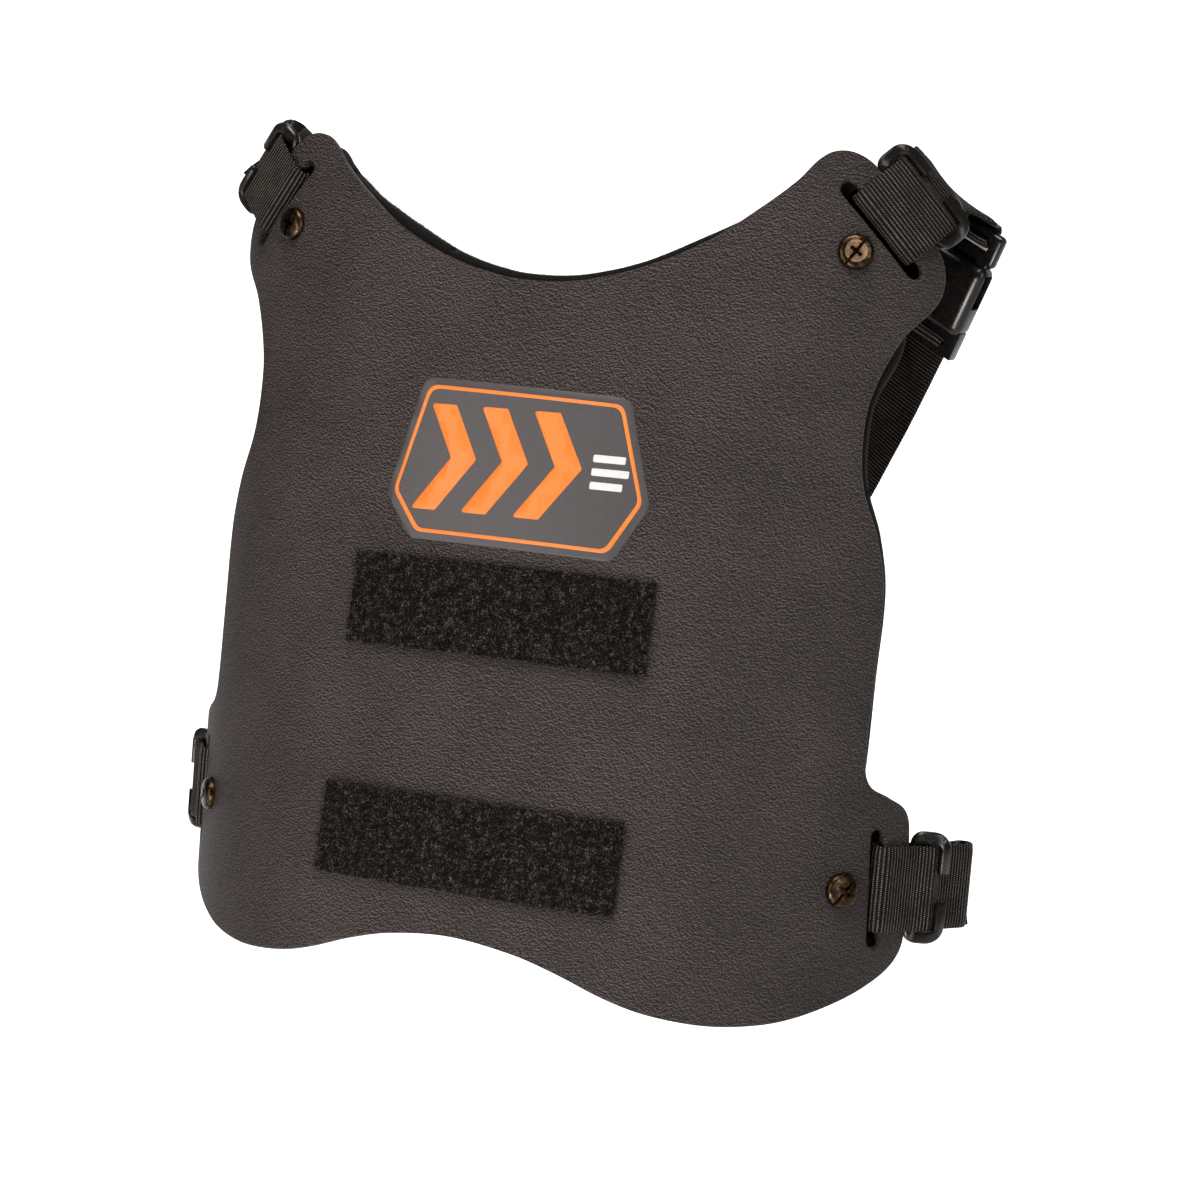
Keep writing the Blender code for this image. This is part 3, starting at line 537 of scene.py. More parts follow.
def plate_frame(across, up):
    """Place, sideways, upward and outward directions of the plate's front."""
    turn = turn_at(across, up)
    sideways = Vector((math.cos(turn), math.sin(turn), 0))
    upward = on_front(across, up + MM / 2) - on_front(across, up - MM / 2)
    outward = sideways.cross(upward).normalized()
    return on_front(across, up), sideways, outward.cross(sideways), outward


def on_plate(across, up, depth=0.0):
    place, _, _, outward = plate_frame(across, up)
    return place - outward * depth


print("middle of the front:", [round(v / MM, 1) for v in on_plate(0, 0)])

# %% [markdown]
# ## Outlines
# Half of the plate's outline is a short table of shares of its half width and height. A smooth
# curve runs through the rows, and the other half is its mirror image. The slots are straight
# holes with round ends.

# %% Outline of the plate and its slots
OUTLINE_ROWS = (
    (0.000, 0.352, "shows"),
    (0.093, 0.356, "shows"),
    (0.221, 0.375, "shows"),
    (0.357, 0.411, "shows"),
    (0.457, 0.4525, "shows"),
    (0.529, 0.488, "shows"),
    (0.568, 0.514, "shoulder"),
    (0.600, 0.5255, "shoulder"),
    (0.643, 0.526, "shoulder"),
    (0.689, 0.513, "shoulder"),
    (0.764, 0.472, "shoulder"),
    (0.845, 0.429, "shoulder"),
    (0.864, 0.401, "shoulder"),
    (0.854, 0.3715, "shoulder"),
    (0.786, 0.324, "shows"),
    (0.736, 0.253, "shows"),
    (0.731, 0.198, "shows"),
    (0.746, 0.150, "shows"),
    (0.789, 0.099, "shows"),
    (0.819, 0.0395, "shows"),
    (0.825, -0.059, "shows"),
    (0.832, -0.158, "shows"),
    (0.850, -0.180, "waist"),
    (0.900, -0.190, "waist"),
    (0.950, -0.2016, "waist"),
    (0.970, -0.225, "waist"),
    (1.000, -0.348, "waist"),
    (0.979, -0.3775, "waist"),
    (0.914, -0.407, "waist"),
    (0.821, -0.4356, "hem"),
    (0.721, -0.4585, "hem"),
    (0.629, -0.470, "hem"),
    (0.539, -0.474, "hem"),
    (0.429, -0.4696, "hem"),
    (0.343, -0.4585, "hem"),
    (0.243, -0.440, "hem"),
    (0.143, -0.426, "hem"),
    (0.000, -0.418, "hem"),
)
SLOT_WIDTH = 4.5 * MM
WEB_WIDTH = 25.4 * MM
SLOT_SPARE_LENGTH = 9 * MM
SLOT_LENGTH = WEB_WIDTH + SLOT_SPARE_LENGTH
SLOT_COLUMNS = ("name", "across", "up", "tilt", "screw_inset", "lean")
SLOT_ROWS = (
    ("shoulder", 0.714, 0.443, 47, 10.0 * MM, {1: 29, -1: 14}),
    ("waist", 0.898, -0.296, 7, 11.8 * MM, {1: 0, -1: 0}),
)
SLIDER_BAR = 2.2 * MM
SLIDER_SIDE_EASE = 1.2 * MM
SCREW_SHANK_RADIUS = 2.4 * MM

plate_half = [Vector((a * PLATE_HALF_WIDTH, b * PLATE_HEIGHT)) for a, b, _ in OUTLINE_ROWS]


def smooth_line(points, steps, closed=False):
    """Points of a smooth curve through the given points, with steps spans between two."""
    count = len(points)
    line = []
    for index in range(count if closed else count - 1):
        if closed:
            near = [points[(index + k) % count] for k in (-1, 0, 1, 2)]
        else:
            near = [points[min(max(index + k, 0), count - 1)] for k in (-1, 0, 1, 2)]
        before, start, end, after = near
        reach = (end - start).length
        leave = (end - before).normalized() * reach
        arrive = (after - start).normalized() * reach
        for t in [step / steps for step in range(steps)]:
            line.append(
                start * (2 * t**3 - 3 * t**2 + 1)
                + leave * (t**3 - 2 * t**2 + t)
                + end * (3 * t**2 - 2 * t**3)
                + arrive * (t**3 - t**2)
            )
    if not closed:
        line.append(points[-1].copy())
    return line


def whole_outline(half, steps=10):
    left = [Vector((-place.x, place.y)) for place in reversed(half[1:-1])]
    return smooth_line(half + left, steps, closed=True)


def plate_reach(centre, outward, along):
    """How far the plate goes outwards from a slot, over the width of a slider."""
    half = WEB_WIDTH / 2 + SLIDER_SIDE_EASE + SLIDER_BAR
    offsets = [place - centre for place in whole_outline(plate_half, 2)]
    return max(offset.dot(outward) for offset in offsets if abs(offset.dot(along)) < half)


def slots():
    """Each of the four slots with its place, directions and sizes in flat coordinates."""
    found = []
    for row in SLOT_ROWS:
        cell = dict(zip(SLOT_COLUMNS, row))
        tilt = math.radians(cell["tilt"])
        centre = Vector((cell["across"] * PLATE_HALF_WIDTH, cell["up"] * PLATE_HEIGHT))
        outward = Vector((math.cos(tilt), math.sin(tilt)))
        along = Vector((math.sin(tilt), -math.cos(tilt)))
        for side, hand in ((1, "right"), (-1, "left")):
            slot = {"name": cell["name"], "hand": hand, "side": side, "centre": centre}
            slot.update(outward=outward, along=along)
            slot["margin"] = plate_reach(centre, outward, along)
            slot["screw"] = centre - outward * cell["screw_inset"]
            slot["lean"] = math.radians(cell["lean"][side])
            found.append(slot)
    return found


def turned_out(slot, flat):
    """A place or direction on the right half, carried to the slot's own side."""
    return Vector((slot["side"] * flat.x, flat.y))


def slot_outline(slot, steps=12):
    radius = SLOT_WIDTH / 2
    straight = SLOT_LENGTH / 2 - radius
    places = []
    for sign in (1, -1):
        for step in range(steps + 1):
            angle = math.pi * step / steps
            offset = slot["outward"] * math.cos(angle) + slot["along"] * math.sin(angle)
            places.append(slot["centre"] + (slot["along"] * straight + offset * radius) * sign)
    return [turned_out(slot, place) for place in places]


def circle(centre, radius, count=24):
    turns = [2 * math.pi * step / count for step in range(count)]
    return [centre + Vector((math.cos(t), math.sin(t))) * radius for t in turns]


def screw_centre(slot):
    return turned_out(slot, slot["screw"])


plate_outline = whole_outline(plate_half)
print("outline points:", len(plate_outline))

# %% [markdown]
# ## A panel with a rounded rim
# Plate and pad are both thick sheets with rounded edges. A bevel on a cut sheet tends to fail at
# tight corners, so the rim is built directly: fill the inset outline, cut the fill into small
# cells, then carry its border round the edge in rings. The cells let the sheet bend smoothly.

# %% Building a curved panel
CUT_SHIFT = 0.01
CUT_MERGE = 1e-7
POINT_MERGE = 1e-6


def signed_area(loop):
    pairs = zip(loop, loop[1:] + loop[:1])
    return sum(a.x * b.y - b.x * a.y for a, b in pairs) / 2


def shifted_loop(loop, reach, hole=False):
    """The loop moved into the material by a distance."""
    turn = 1 if (signed_area(loop) > 0) != hole else -1
    moved = []
    for index, place in enumerate(loop):
        run = (loop[(index + 1) % len(loop)] - loop[index - 1]).normalized()
        moved.append(place + Vector((-run.y, run.x)) * reach * turn)
    return moved


def filled_cells(loops, cell):
    """Flat mesh inside the first loop and outside the rest, cut into cells."""
    work = bmesh.new()
    for loop in loops:
        verts = [work.verts.new((place.x, place.y, 0)) for place in loop]
        for first, second in zip(verts, verts[1:] + verts[:1]):
            work.edges.new((first, second))
    bmesh.ops.triangle_fill(work, use_beauty=True, edges=work.edges[:], normal=(0, 0, 1))
    for axis, pitch in enumerate(cell):
        low = min(place[axis] for place in loops[0])
        high = max(place[axis] for place in loops[0])
        for index in range(math.floor(low / pitch) + 1, math.ceil(high / pitch)):
            cut = {"plane_co": [0, 0, 0], "plane_no": [0, 0, 0], "dist": CUT_MERGE}
            cut["plane_co"][axis] = (index + CUT_SHIFT) * pitch
            cut["plane_no"][axis] = 1
            everything = work.verts[:] + work.edges[:] + work.faces[:]
            bmesh.ops.bisect_plane(work, geom=everything, **cut)
    work.normal_update()
    if sum(face.normal.z for face in work.faces) < 0:
        bmesh.ops.reverse_faces(work, faces=work.faces[:])
    work.verts.index_update()
    return work


def border_chains(work):
    """The borders of a flat mesh, each as an ordered chain of vertex numbers."""
    following = {}
    for edge in [edge for edge in work.edges if edge.is_boundary]:
        for corner in edge.link_faces[0].loops:
            if corner.edge == edge:
                following[corner.vert.index] = corner.link_loop_next.vert.index
    chains = []
    while following:
        start = next(iter(following))
        chain = [start]
        number = following.pop(start)
        while number != start:
            chain.append(number)
            number = following.pop(number)
        chains.append(chain)
    return chains


def rim_profile(near, far, rim, steps):
    """The rounded rim as pairs of reach and depth, from the front to the back."""
    profile = []
    for step in range(1, steps + 1):
        angle = math.pi / 2 * step / steps
        profile.append((rim * math.sin(angle), near + rim * (1 - math.cos(angle))))
    return profile + [(reach, near + far - depth) for reach, depth in reversed(profile)]


def curved_panel(name, outer, holes, near, far, rim, cell, rim_steps=4):
    """A sheet between two depths with rounded rims, bent onto the plate's curve."""
    loops = [shifted_loop(outer, rim)] + [shifted_loop(hole, rim, True) for hole in holes]
    work = filled_cells(loops, cell)
    flat = [Vector((vert.co.x, vert.co.y)) for vert in work.verts]
    count = len(flat)
    points = [(place, near) for place in flat] + [(place, far) for place in flat]
    faces = []
    for face in work.faces:
        ring = [vert.index for vert in face.verts]
        faces.append(ring)
        faces.append([count + index for index in reversed(ring)])
    for chain in border_chains(work):
        size = len(chain)
        outward = []
        for index in range(size):
            run = flat[chain[(index + 1) % size]] - flat[chain[index - 1]]
            outward.append(Vector((run.y, -run.x)).normalized())
        rings = [chain]
        for reach, depth in rim_profile(near, far, rim, rim_steps):
            rings.append(list(range(len(points), len(points) + size)))
            points += [(flat[k] + way * reach, depth) for k, way in zip(chain, outward)]
        rings.append([count + index for index in chain])
        for first, second in zip(rings, rings[1:]):
            for k in range(size):
                after = (k + 1) % size
                faces.append([first[after], first[k], second[k], second[after]])
    work.free()
    places = [on_plate(place.x, place.y, depth) for place, depth in points]
    panel = new_piece(name, places, faces)
    work = bmesh.new()
    work.from_mesh(panel.data)
    bmesh.ops.remove_doubles(work, verts=work.verts[:], dist=POINT_MERGE)
    bmesh.ops.dissolve_degenerate(work, edges=work.edges[:], dist=POINT_MERGE / 2)
    bmesh.ops.recalc_face_normals(work, faces=work.faces[:])
    work.to_mesh(panel.data)
    work.free()
    panel.data.shade_smooth()
    return panel


def dress(piece, finish, replaced=None):
    """Gives a piece its finish, its body and the node that it stands for."""
    piece.data.materials.clear()
    piece.data.materials.append(finish.material)
    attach(piece, "root")
    if replaced:
        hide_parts(replaced)
    print(piece.name, len(piece.data.polygons), "faces")
    return piece


# %% [markdown]
# ## The plate
# One thick sheet with four slots and four screw holes. Its rim is rounded by a little less than
# a millimetre, as a trimmed and buffed edge is, and that is what catches the thin line of light.

# %% Plate
PLATE_RIM = 0.8 * MM
PLATE_CELL = (3.1 * MM, 6.3 * MM)

plate_holes = [slot_outline(slot) for slot in slots()]
plate_holes += [circle(screw_centre(slot), SCREW_SHANK_RADIUS + FIT_GAP) for slot in slots()]
plate = curved_panel("plate", plate_outline, plate_holes, 0, PLATE_WALL, PLATE_RIM, PLATE_CELL)
dress(plate, plate_finish, "shell")

# %% [markdown]
# ## The pad
# A slab of foam in a napped cover, a little larger than the plate at the neck and the arms. The
# cover is pulled round the foam, so the edge is full and round. Behind each slot it thins to a
# flap, where the webbing passes, and small lobes close it again behind the slot's two ends.

# %% Pad
PAD_REVEAL = 3 * MM
PAD_PEAK_LEVEL = 0.41
PAD_PEAK_TAPER = 65 * MM
PAD_HEM_SET_BACK = 3 * MM
PAD_SLOT_CLEAR = 4.6 * MM
PAD_RIM = 2.6 * MM
PAD_CELL = (4.1 * MM, 7.3 * MM)
PAD_NEAR = PLATE_WALL + FIT_GAP
PAD_FAR = PAD_NEAR + PAD_THICK
FLAP_THICK = 3.6 * MM
FLAP_NEAR = PAD_FAR - FLAP_THICK
FLAP_FAR = PAD_FAR - 0.2 * MM
FLAP_RIM = 1 * MM
FLAP_SET_BACK = 2.5 * MM
FLAP_HALF_LENGTH = 27 * MM
FLAP_LAP = 8 * MM
END_START = 14.4 * MM
END_LAP = 0.3 * MM
END_RIM = 0.5 * MM


def pad_half_outline():
    by_name = {slot["name"]: slot for slot in slots()}
    half = []
    done = set()
    for index, place in enumerate(plate_half):
        follow = OUTLINE_ROWS[index][2]
        before = plate_half[max(index - 1, 0)]
        after = plate_half[min(index + 1, len(plate_half) - 1)]
        run = (after - before).normalized()
        outward = Vector((-run.y, run.x))
        if place.x == 0:
            outward = Vector((0, 1 if place.y > 0 else -1))
        if follow == "shows":
            peak = max(0.0, place.y / PLATE_HEIGHT - PAD_PEAK_LEVEL)
            half.append(place + outward * (PAD_REVEAL - PAD_PEAK_TAPER * peak))
        elif follow == "hem":
            half.append(place - outward * PAD_HEM_SET_BACK)
        elif follow not in done:
            done.add(follow)
            slot = by_name[follow]
            edge = slot["centre"] - slot["outward"] * PAD_SLOT_CLEAR
            reach = slot["along"] * (SLOT_LENGTH / 2)
            half += [edge - reach, edge, edge + reach]
    return half


def lobe_outline(slot, low, high):
    """The plate's outline near a slot, drawn in a little, and closed under the pad."""
    centre, outward, along = [turned_out(slot, slot[key]) for key in ("centre", "outward", "along")]
    offsets = [place - centre for place in shifted_loop(plate_outline, FLAP_SET_BACK)[::3]]
    flat = [(offset.dot(along), offset.dot(outward)) for offset in offsets]
    first = min(range(len(flat)), key=lambda k: flat[k][1])
    flat = flat[first:] + flat[:first]
    lobe = [(v, u) for v, u in flat if u > -PAD_SLOT_CLEAR and low < v < high]
    under = -PAD_SLOT_CLEAR - FLAP_LAP
    path = lobe + [(lobe[-1][0], under), (lobe[0][0], under)]
    loop = [centre + outward * u + along * v for v, u in path]
    return loop if signed_area(loop) > 0 else loop[::-1]


def pad_piece(name, loop, near, far, rim, rim_steps, replaced=None):
    piece = curved_panel(name, loop, [], near, far, rim, PAD_CELL, rim_steps)
    dress(piece, pad_finish, replaced)


pad_outline = whole_outline(pad_half_outline())
pad_piece("pad_cover", pad_outline, PAD_NEAR, PAD_FAR, PAD_RIM, 6, "pad")
LOBES = (
    ("flap", -FLAP_HALF_LENGTH, FLAP_HALF_LENGTH, FLAP_NEAR, FLAP_FAR, FLAP_RIM),
    ("low_end", END_START, FLAP_HALF_LENGTH, PAD_NEAR, FLAP_NEAR + END_LAP, END_RIM),
    ("high_end", -FLAP_HALF_LENGTH, -END_START, PAD_NEAR, FLAP_NEAR + END_LAP, END_RIM),
)
for slot in slots():
    for kind, low, high, near, far, rim in LOBES:
        name = f"pad_{kind}_{slot['name']}_{slot['hand']}"
        pad_piece(name, lobe_outline(slot, low, high), near, far, rim, 3)

# %% [markdown]
# ## Loop strips
# The strips are a thin woven ground with a deep pile of tiny loops, matted into tufts. The
# ground is a panel like the others. The pile is thousands of short curled threads, made as one
# mesh of narrow ribbons: particles would give the same look, but they don't export.

# %% Ground of the strips
STRIP_HALF_LENGTH = 48.5 * MM
STRIP_HEIGHT = 27 * MM
STRIP_THICK = 1.6 * MM
STRIP_ROWS = (("upper_loop_strip", -0.040), ("lower_loop_strip", -0.314))
GROUND_TOP = -(FIT_GAP + STRIP_THICK) + 0.5 * MM
GROUND_BACK = -0.05 * MM
GROUND_RIM = 0.25 * MM
GROUND_CELL = (2.2 * MM, 2.2 * MM)
CUT_STEP = 1.2 * MM
CUT_STRAY = 0.12


def strip_outline(middle, seed):
    """A rectangle whose cut edges wander a little."""
    rng = random.Random(seed)
    wide, tall = STRIP_HALF_LENGTH, STRIP_HEIGHT / 2
    corners = [(-wide, -tall), (wide, -tall), (wide, tall), (-wide, tall)]
    places = []
    for (ax, ay), (bx, by) in zip(corners, corners[1:] + corners[:1]):
        count = max(6, round(math.hypot(bx - ax, by - ay) / CUT_STEP))
        for step in range(count):
            t = step / count
            stray = 0 if step == 0 else rng.uniform(-CUT_STRAY, CUT_STRAY) * MM
            x = ax + (bx - ax) * t + (stray if ax == bx else 0)
            y = ay + (by - ay) * t + (stray if ay == by else 0)
            places.append(Vector((x, y + middle)))
    return places


for number, (name, share) in enumerate(STRIP_ROWS):
    outline = strip_outline(share * PLATE_HEIGHT, number + 3)
    ground = curved_panel(
        name + "_ground", outline, [], GROUND_TOP, GROUND_BACK, GROUND_RIM, GROUND_CELL, 2
    )
    dress(ground, pile_finish, name)

# %% [markdown]
# Each thread starts on the ground, rises, and bends over in its own direction. A slow noise
# decides how threads lean together, which is what makes the matted tufts.

# %% Short threads as one mesh
THREAD_ARCH = 2.1
THREAD_TAPER = 0.55
PILE_THREADS = 15000
PILE_HEIGHT = 1.4 * MM
PILE_WIDTH = 0.17 * MM
PILE_CURL = 0.9
PILE_LEAN = 1.1
PILE_SPILL = 0.25 * MM
PILE_ROOT = 0.9 * MM


def threads(name, roots, height, width, curl, seed, bends):
    """Narrow ribbons from roots: each root is a place, its outward way, and a lean."""
    rng = random.Random(seed)
    points = []
    faces = []
    for place, outward, lean in roots:
        side = Vector([rng.uniform(-1, 1) for _ in range(3)])
        side = (side - outward * side.dot(outward)).normalized()
        drift = (side * curl + lean) * rng.uniform(0.4, 1.2)
        tall = height * rng.uniform(0.55, 1.15)
        flat = outward.cross(drift)
        flat = (flat if flat.length > POINT_MERGE else side).normalized() * (width / 2)
        base = len(points)
        for step in range(bends + 1):
            t = step / bends
            spot = place + outward * tall * math.sin(t * THREAD_ARCH) + drift * tall * t * t
            taper = flat * (1 - THREAD_TAPER * t)
            points += [spot - taper, spot + taper]
        faces += [(a, a + 1, a + 3, a + 2) for a in range(base, base + 2 * bends, 2)]
    return new_piece(name, points, faces)


def tuft_lean(x, y, seed):
    """Which way the threads lean near a place, from a few slow waves."""
    a = math.sin(x * 2900 + seed) + math.sin(y * 3700 + 2 * seed) + math.sin((x + y) * 5100)
    b = math.cos(x * 3300 + 3 * seed) + math.sin(y * 2700) + math.cos((x - y) * 4500 + seed)
    return Vector((a / 3, 0, b / 3))


for number, (name, share) in enumerate(STRIP_ROWS):
    rng = random.Random(20 + number)
    roots = []
    for _ in range(PILE_THREADS):
        x = rng.uniform(-1, 1) * (STRIP_HALF_LENGTH + PILE_SPILL)
        y = share * PLATE_HEIGHT + rng.uniform(-1, 1) * (STRIP_HEIGHT / 2 + PILE_SPILL)
        place, _, _, outward = plate_frame(x, y)
        start = place + outward * (FIT_GAP + STRIP_THICK - PILE_ROOT)
        roots.append((start, outward, tuft_lean(x, y, number) * PILE_LEAN))
    pile = threads(name + "_pile", roots, PILE_HEIGHT, PILE_WIDTH, PILE_CURL, 30 + number, 3)
    dress(pile, pile_finish)

# %% [markdown]
# ## Screws
# Truss head machine screws: a wide low dome with a flat middle, a cross recess and a straight
# slot right across. The head is turned on a lathe profile, and the recess is cut out of it.

# %% Screws
SCREW_HEAD_RADIUS = 5.2 * MM
SCREW_FACE_RADIUS = 3.2 * MM
SCREW_HEAD_HEIGHT = 2.3 * MM
SCREW_BITE = 5 * MM
SCREW_SIDES = 48
FACE_BEVEL = 0.25 * MM
FACE_DROP = 0.12 * MM
HEAD_SKIRT = 0.35 * MM
DOME_STEPS = 6
DOME_FULLNESS = 0.9
SCREW_CUTS = (
    ("slot_cut", 6 * MM, 0.42 * MM, 0.75 * MM, 0),
    ("cross_a", 2 * MM, 0.5 * MM, 1.2 * MM, 0),
    ("cross_b", 0.5 * MM, 2 * MM, 1.2 * MM, 0),
    ("cross_c", 0.95 * MM, 0.95 * MM, 1.7 * MM, 45),
)
SCREW_TURNS = {"shoulder_right": 58, "waist_right": 57, "shoulder_left": 72, "waist_left": 40}
WORN_SCREW = ("shoulder", "right")
TOP_NEAR = 0.05 * MM
TOP_LEVEL = 0.98


def lathe(profile, count):
    """A closed turned mesh from radius and height pairs; both ends lie on the axis."""
    work = bmesh.new()
    rings = []
    for radius, height in profile:
        if radius == 0:
            rings.append([work.verts.new((0, 0, height))])
            continue
        ring = []
        for step in range(count):
            angle = 2 * math.pi * step / count
            spot = (radius * math.cos(angle), radius * math.sin(angle), height)
            ring.append(work.verts.new(spot))
        rings.append(ring)
    for first, second in zip(rings, rings[1:]):
        for k in range(count):
            after = (k + 1) % count
            if len(first) == 1:
                work.faces.new((first[0], second[k], second[after]))
            elif len(second) == 1:
                work.faces.new((first[k], second[0], first[after]))
            else:
                work.faces.new((first[k], second[k], second[after], first[after]))
    bmesh.ops.recalc_face_normals(work, faces=work.faces[:])
    return work


def box_mesh(name, low, high):
    """A box between two corners, not yet in the scene."""
    work = bmesh.new()
    bmesh.ops.create_cube(work, size=1)
    for vert in work.verts:
        vert.co = Vector([(a + b) / 2 + c * (b - a) for a, b, c in zip(low, high, vert.co)])
    mesh = bpy.data.meshes.new(name)
    work.to_mesh(mesh)
    work.free()
    return bpy.data.objects.new(name, mesh)


def combined(piece, helpers, operation):
    """Joins or cuts a piece with helpers, and removes the helpers."""
    for helper in helpers:
        scene.collection.objects.link(helper)
        modifier = piece.modifiers.new("Shape", "BOOLEAN")
        modifier.operation = operation
        modifier.object = helper
        modifier.solver = "EXACT"
    bpy.context.view_layer.update()
    graph = bpy.context.evaluated_depsgraph_get()
    mesh = bpy.data.meshes.new_from_object(piece.evaluated_get(graph))
    piece.modifiers.clear()
    piece.data = mesh
    for helper in helpers:
        bpy.data.objects.remove(helper, do_unlink=True)
    return piece


def rounded(piece, width, segments=2, angle=40):
    """Bevels a piece's sharp edges and applies it."""
    modifier = piece.modifiers.new("Edge", "BEVEL")
    modifier.width = width
    modifier.segments = segments
    modifier.limit_method = "ANGLE"
    modifier.angle_limit = math.radians(angle)
    modifier.use_clamp_overlap = True
    return combined(piece, [], "UNION")


def smooth_by_angle(piece, degrees):
    """Smooth shading, but for edges that are sharper than an angle."""
    piece.data.shade_smooth()
    piece.data.set_sharp_from_angle(angle=math.radians(degrees))


def screw_mesh(name):
    """The turned blank of a screw, standing on the plate, with its head up."""
    tip = -(PLATE_WALL + FIT_GAP + SCREW_BITE)
    inner = SCREW_FACE_RADIUS + FACE_BEVEL
    profile = [(0, SCREW_HEAD_HEIGHT), (SCREW_FACE_RADIUS, SCREW_HEAD_HEIGHT)]
    profile.append((inner, SCREW_HEAD_HEIGHT - FACE_DROP))
    for step in range(1, DOME_STEPS + 1):
        angle = math.pi / 2 * step / DOME_STEPS
        radius = inner + (SCREW_HEAD_RADIUS - inner) * math.sin(angle) ** DOME_FULLNESS
        rise = SCREW_HEAD_HEIGHT - HEAD_SKIRT - FACE_DROP
        profile.append((radius, HEAD_SKIRT + rise * math.cos(angle)))
    profile += [(SCREW_HEAD_RADIUS, FIT_GAP / 3), (SCREW_SHANK_RADIUS, FIT_GAP / 3)]
    work = lathe(profile + [(SCREW_SHANK_RADIUS, tip), (0, tip)], SCREW_SIDES)
    mesh = bpy.data.meshes.new(name)
    work.to_mesh(mesh)
    work.free()
    return mesh


def make_screw(slot):
    label = f"{slot['name']}_screw_{slot['hand']}"
    screw = bpy.data.objects.new(label + "_head", screw_mesh(label))
    scene.collection.objects.link(screw)
    cutters = []
    for name, wide, tall, deep, turn in SCREW_CUTS:
        low = (-wide, -tall, SCREW_HEAD_HEIGHT - deep)
        cutter = box_mesh(name, low, (wide, tall, SCREW_HEAD_HEIGHT + MM))
        cutter.rotation_euler = (0, 0, math.radians(turn))
        cutters.append(cutter)
    combined(screw, cutters, "DIFFERENCE")
    centre = screw_centre(slot)
    place, sideways, upward, outward = plate_frame(centre.x, centre.y)
    turn = Matrix((sideways, upward, outward)).transposed().to_4x4()
    spin = math.radians(SCREW_TURNS[f"{slot['name']}_{slot['hand']}"])
    screw.data.transform(Matrix.Translation(place) @ turn @ Matrix.Rotation(spin, 4, "Z"))
    dress(screw, bronze_finish, label)
    worn = (slot["name"], slot["hand"]) == WORN_SCREW
    screw.data.materials.append((copper_finish if worn else bronze_finish).material)
    top = place + outward * SCREW_HEAD_HEIGHT
    for polygon in screw.data.polygons:
        near = abs((polygon.center - top).dot(outward)) < TOP_NEAR
        if near and polygon.normal.dot(outward) > TOP_LEVEL:
            polygon.material_index = 1
    smooth_by_angle(screw, 30)


for slot in slots():
    make_screw(slot)

# %% [markdown]
# ## How the webbing runs
# Each strap comes out of its slot from behind, passes through a slider, goes round the plate's
# edge of the slot and back through the slider. The path is worked out in the slot's own frame:
# u outwards, n off the front, v along the slot. Beyond the slider it leans back with the body.

# %% The frame at a slot
WEB_THICK = 1.5 * MM
WEB_EASE = 0.4 * MM
WEB_REAR_EASE = 1.9 * MM
SLIDER_EDGE_GAP = 1.2 * MM
SLIDER_MIDDLE = 3.4 * MM
SLIDER_REACH = 7.6 * MM
SLIDER_MOUTH = 9 * MM
HARNESS_SET_IN = 6 * MM
HARNESS_DEPTH_SHARE = 0.886
HARNESS_HALF_WIDTH = PLATE_HALF_WIDTH - HARNESS_SET_IN
HARNESS_DEPTH = PLATE_HALF_WIDTH * HARNESS_DEPTH_SHARE
HARNESS_CROSS_GAP = 3.2 * MM
WAIST_FOLD_REACH = 38 * MM
WAIST_TAIL_REACH = 31 * MM
SHOULDER_TAIL_PAST_SLIDER = 2.4 * MM
SHOULDER_BEND_RADIUS = 7 * MM
SHOULDER_BEND_TURN = math.radians(62)
FOLD_RADIUS = 4.4 * MM
FOLD_TURN = math.radians(95)
REAR_LEG_SHARE = 0.8
LAYER_GAP_SHARE = 1.2
BULGE_SHARE = 0.4
BACK_FALL = 0.55
ARC_STEPS = 16
ROUTE_STEPS = 14
FRONT_LEG = WEB_EASE + WEB_THICK / 2
REAR_LEG = -(PLATE_WALL + WEB_REAR_EASE + WEB_THICK / 2)
INNER_BAR_OFF = -PLATE_WALL / 2
OUTER_BAR_OFF = FRONT_LEG + WEB_THICK / 2 + FIT_GAP + SLIDER_BAR / 2
MIDDLE_BAR_OFF = INNER_BAR_OFF + (OUTER_BAR_OFF - INNER_BAR_OFF) * SLIDER_MIDDLE / SLIDER_REACH


class Corner:
    """A slot's own frame, with the places of the slider's bars along it."""

    def __init__(self, slot):
        self.slot = slot
        self.margin = slot["margin"]
        self.inner = self.margin + SLIDER_EDGE_GAP + SLIDER_BAR / 2
        self.middle = self.inner + SLIDER_MIDDLE
        self.outer = self.inner + SLIDER_REACH
        rest = slot["centre"] + slot["outward"] * (self.margin / 2)
        place, sideways, upward, outward = plate_frame(rest.x, rest.y)
        flat = slot["outward"]
        self.run = (sideways * flat.x + upward * flat.y).normalized()
        self.off = outward
        self.along = self.run.cross(self.off).normalized()
        self.start = place - self.run * (self.margin / 2)
        lean = Matrix.Rotation(-slot["lean"], 3, self.along)
        self.late_run = lean @ self.run
        self.late_off = lean @ self.off
        self.edge = self.start + self.run * self.margin

    def mirrored(self, vector):
        return Vector((self.slot["side"] * vector.x, vector.y, vector.z))

    def at(self, u, n, v=0.0):
        """A place; past the plate's edge it leans back with the strap."""
        if u <= self.margin:
            place = self.start + self.run * u + self.off * n
        else:
            place = self.edge + self.late_run * (u - self.margin) + self.late_off * n
        return self.mirrored(place + self.along * v)

    def width(self):
        return self.mirrored(self.along)


corner = {(slot["name"], slot["side"]): Corner(slot) for slot in slots()}

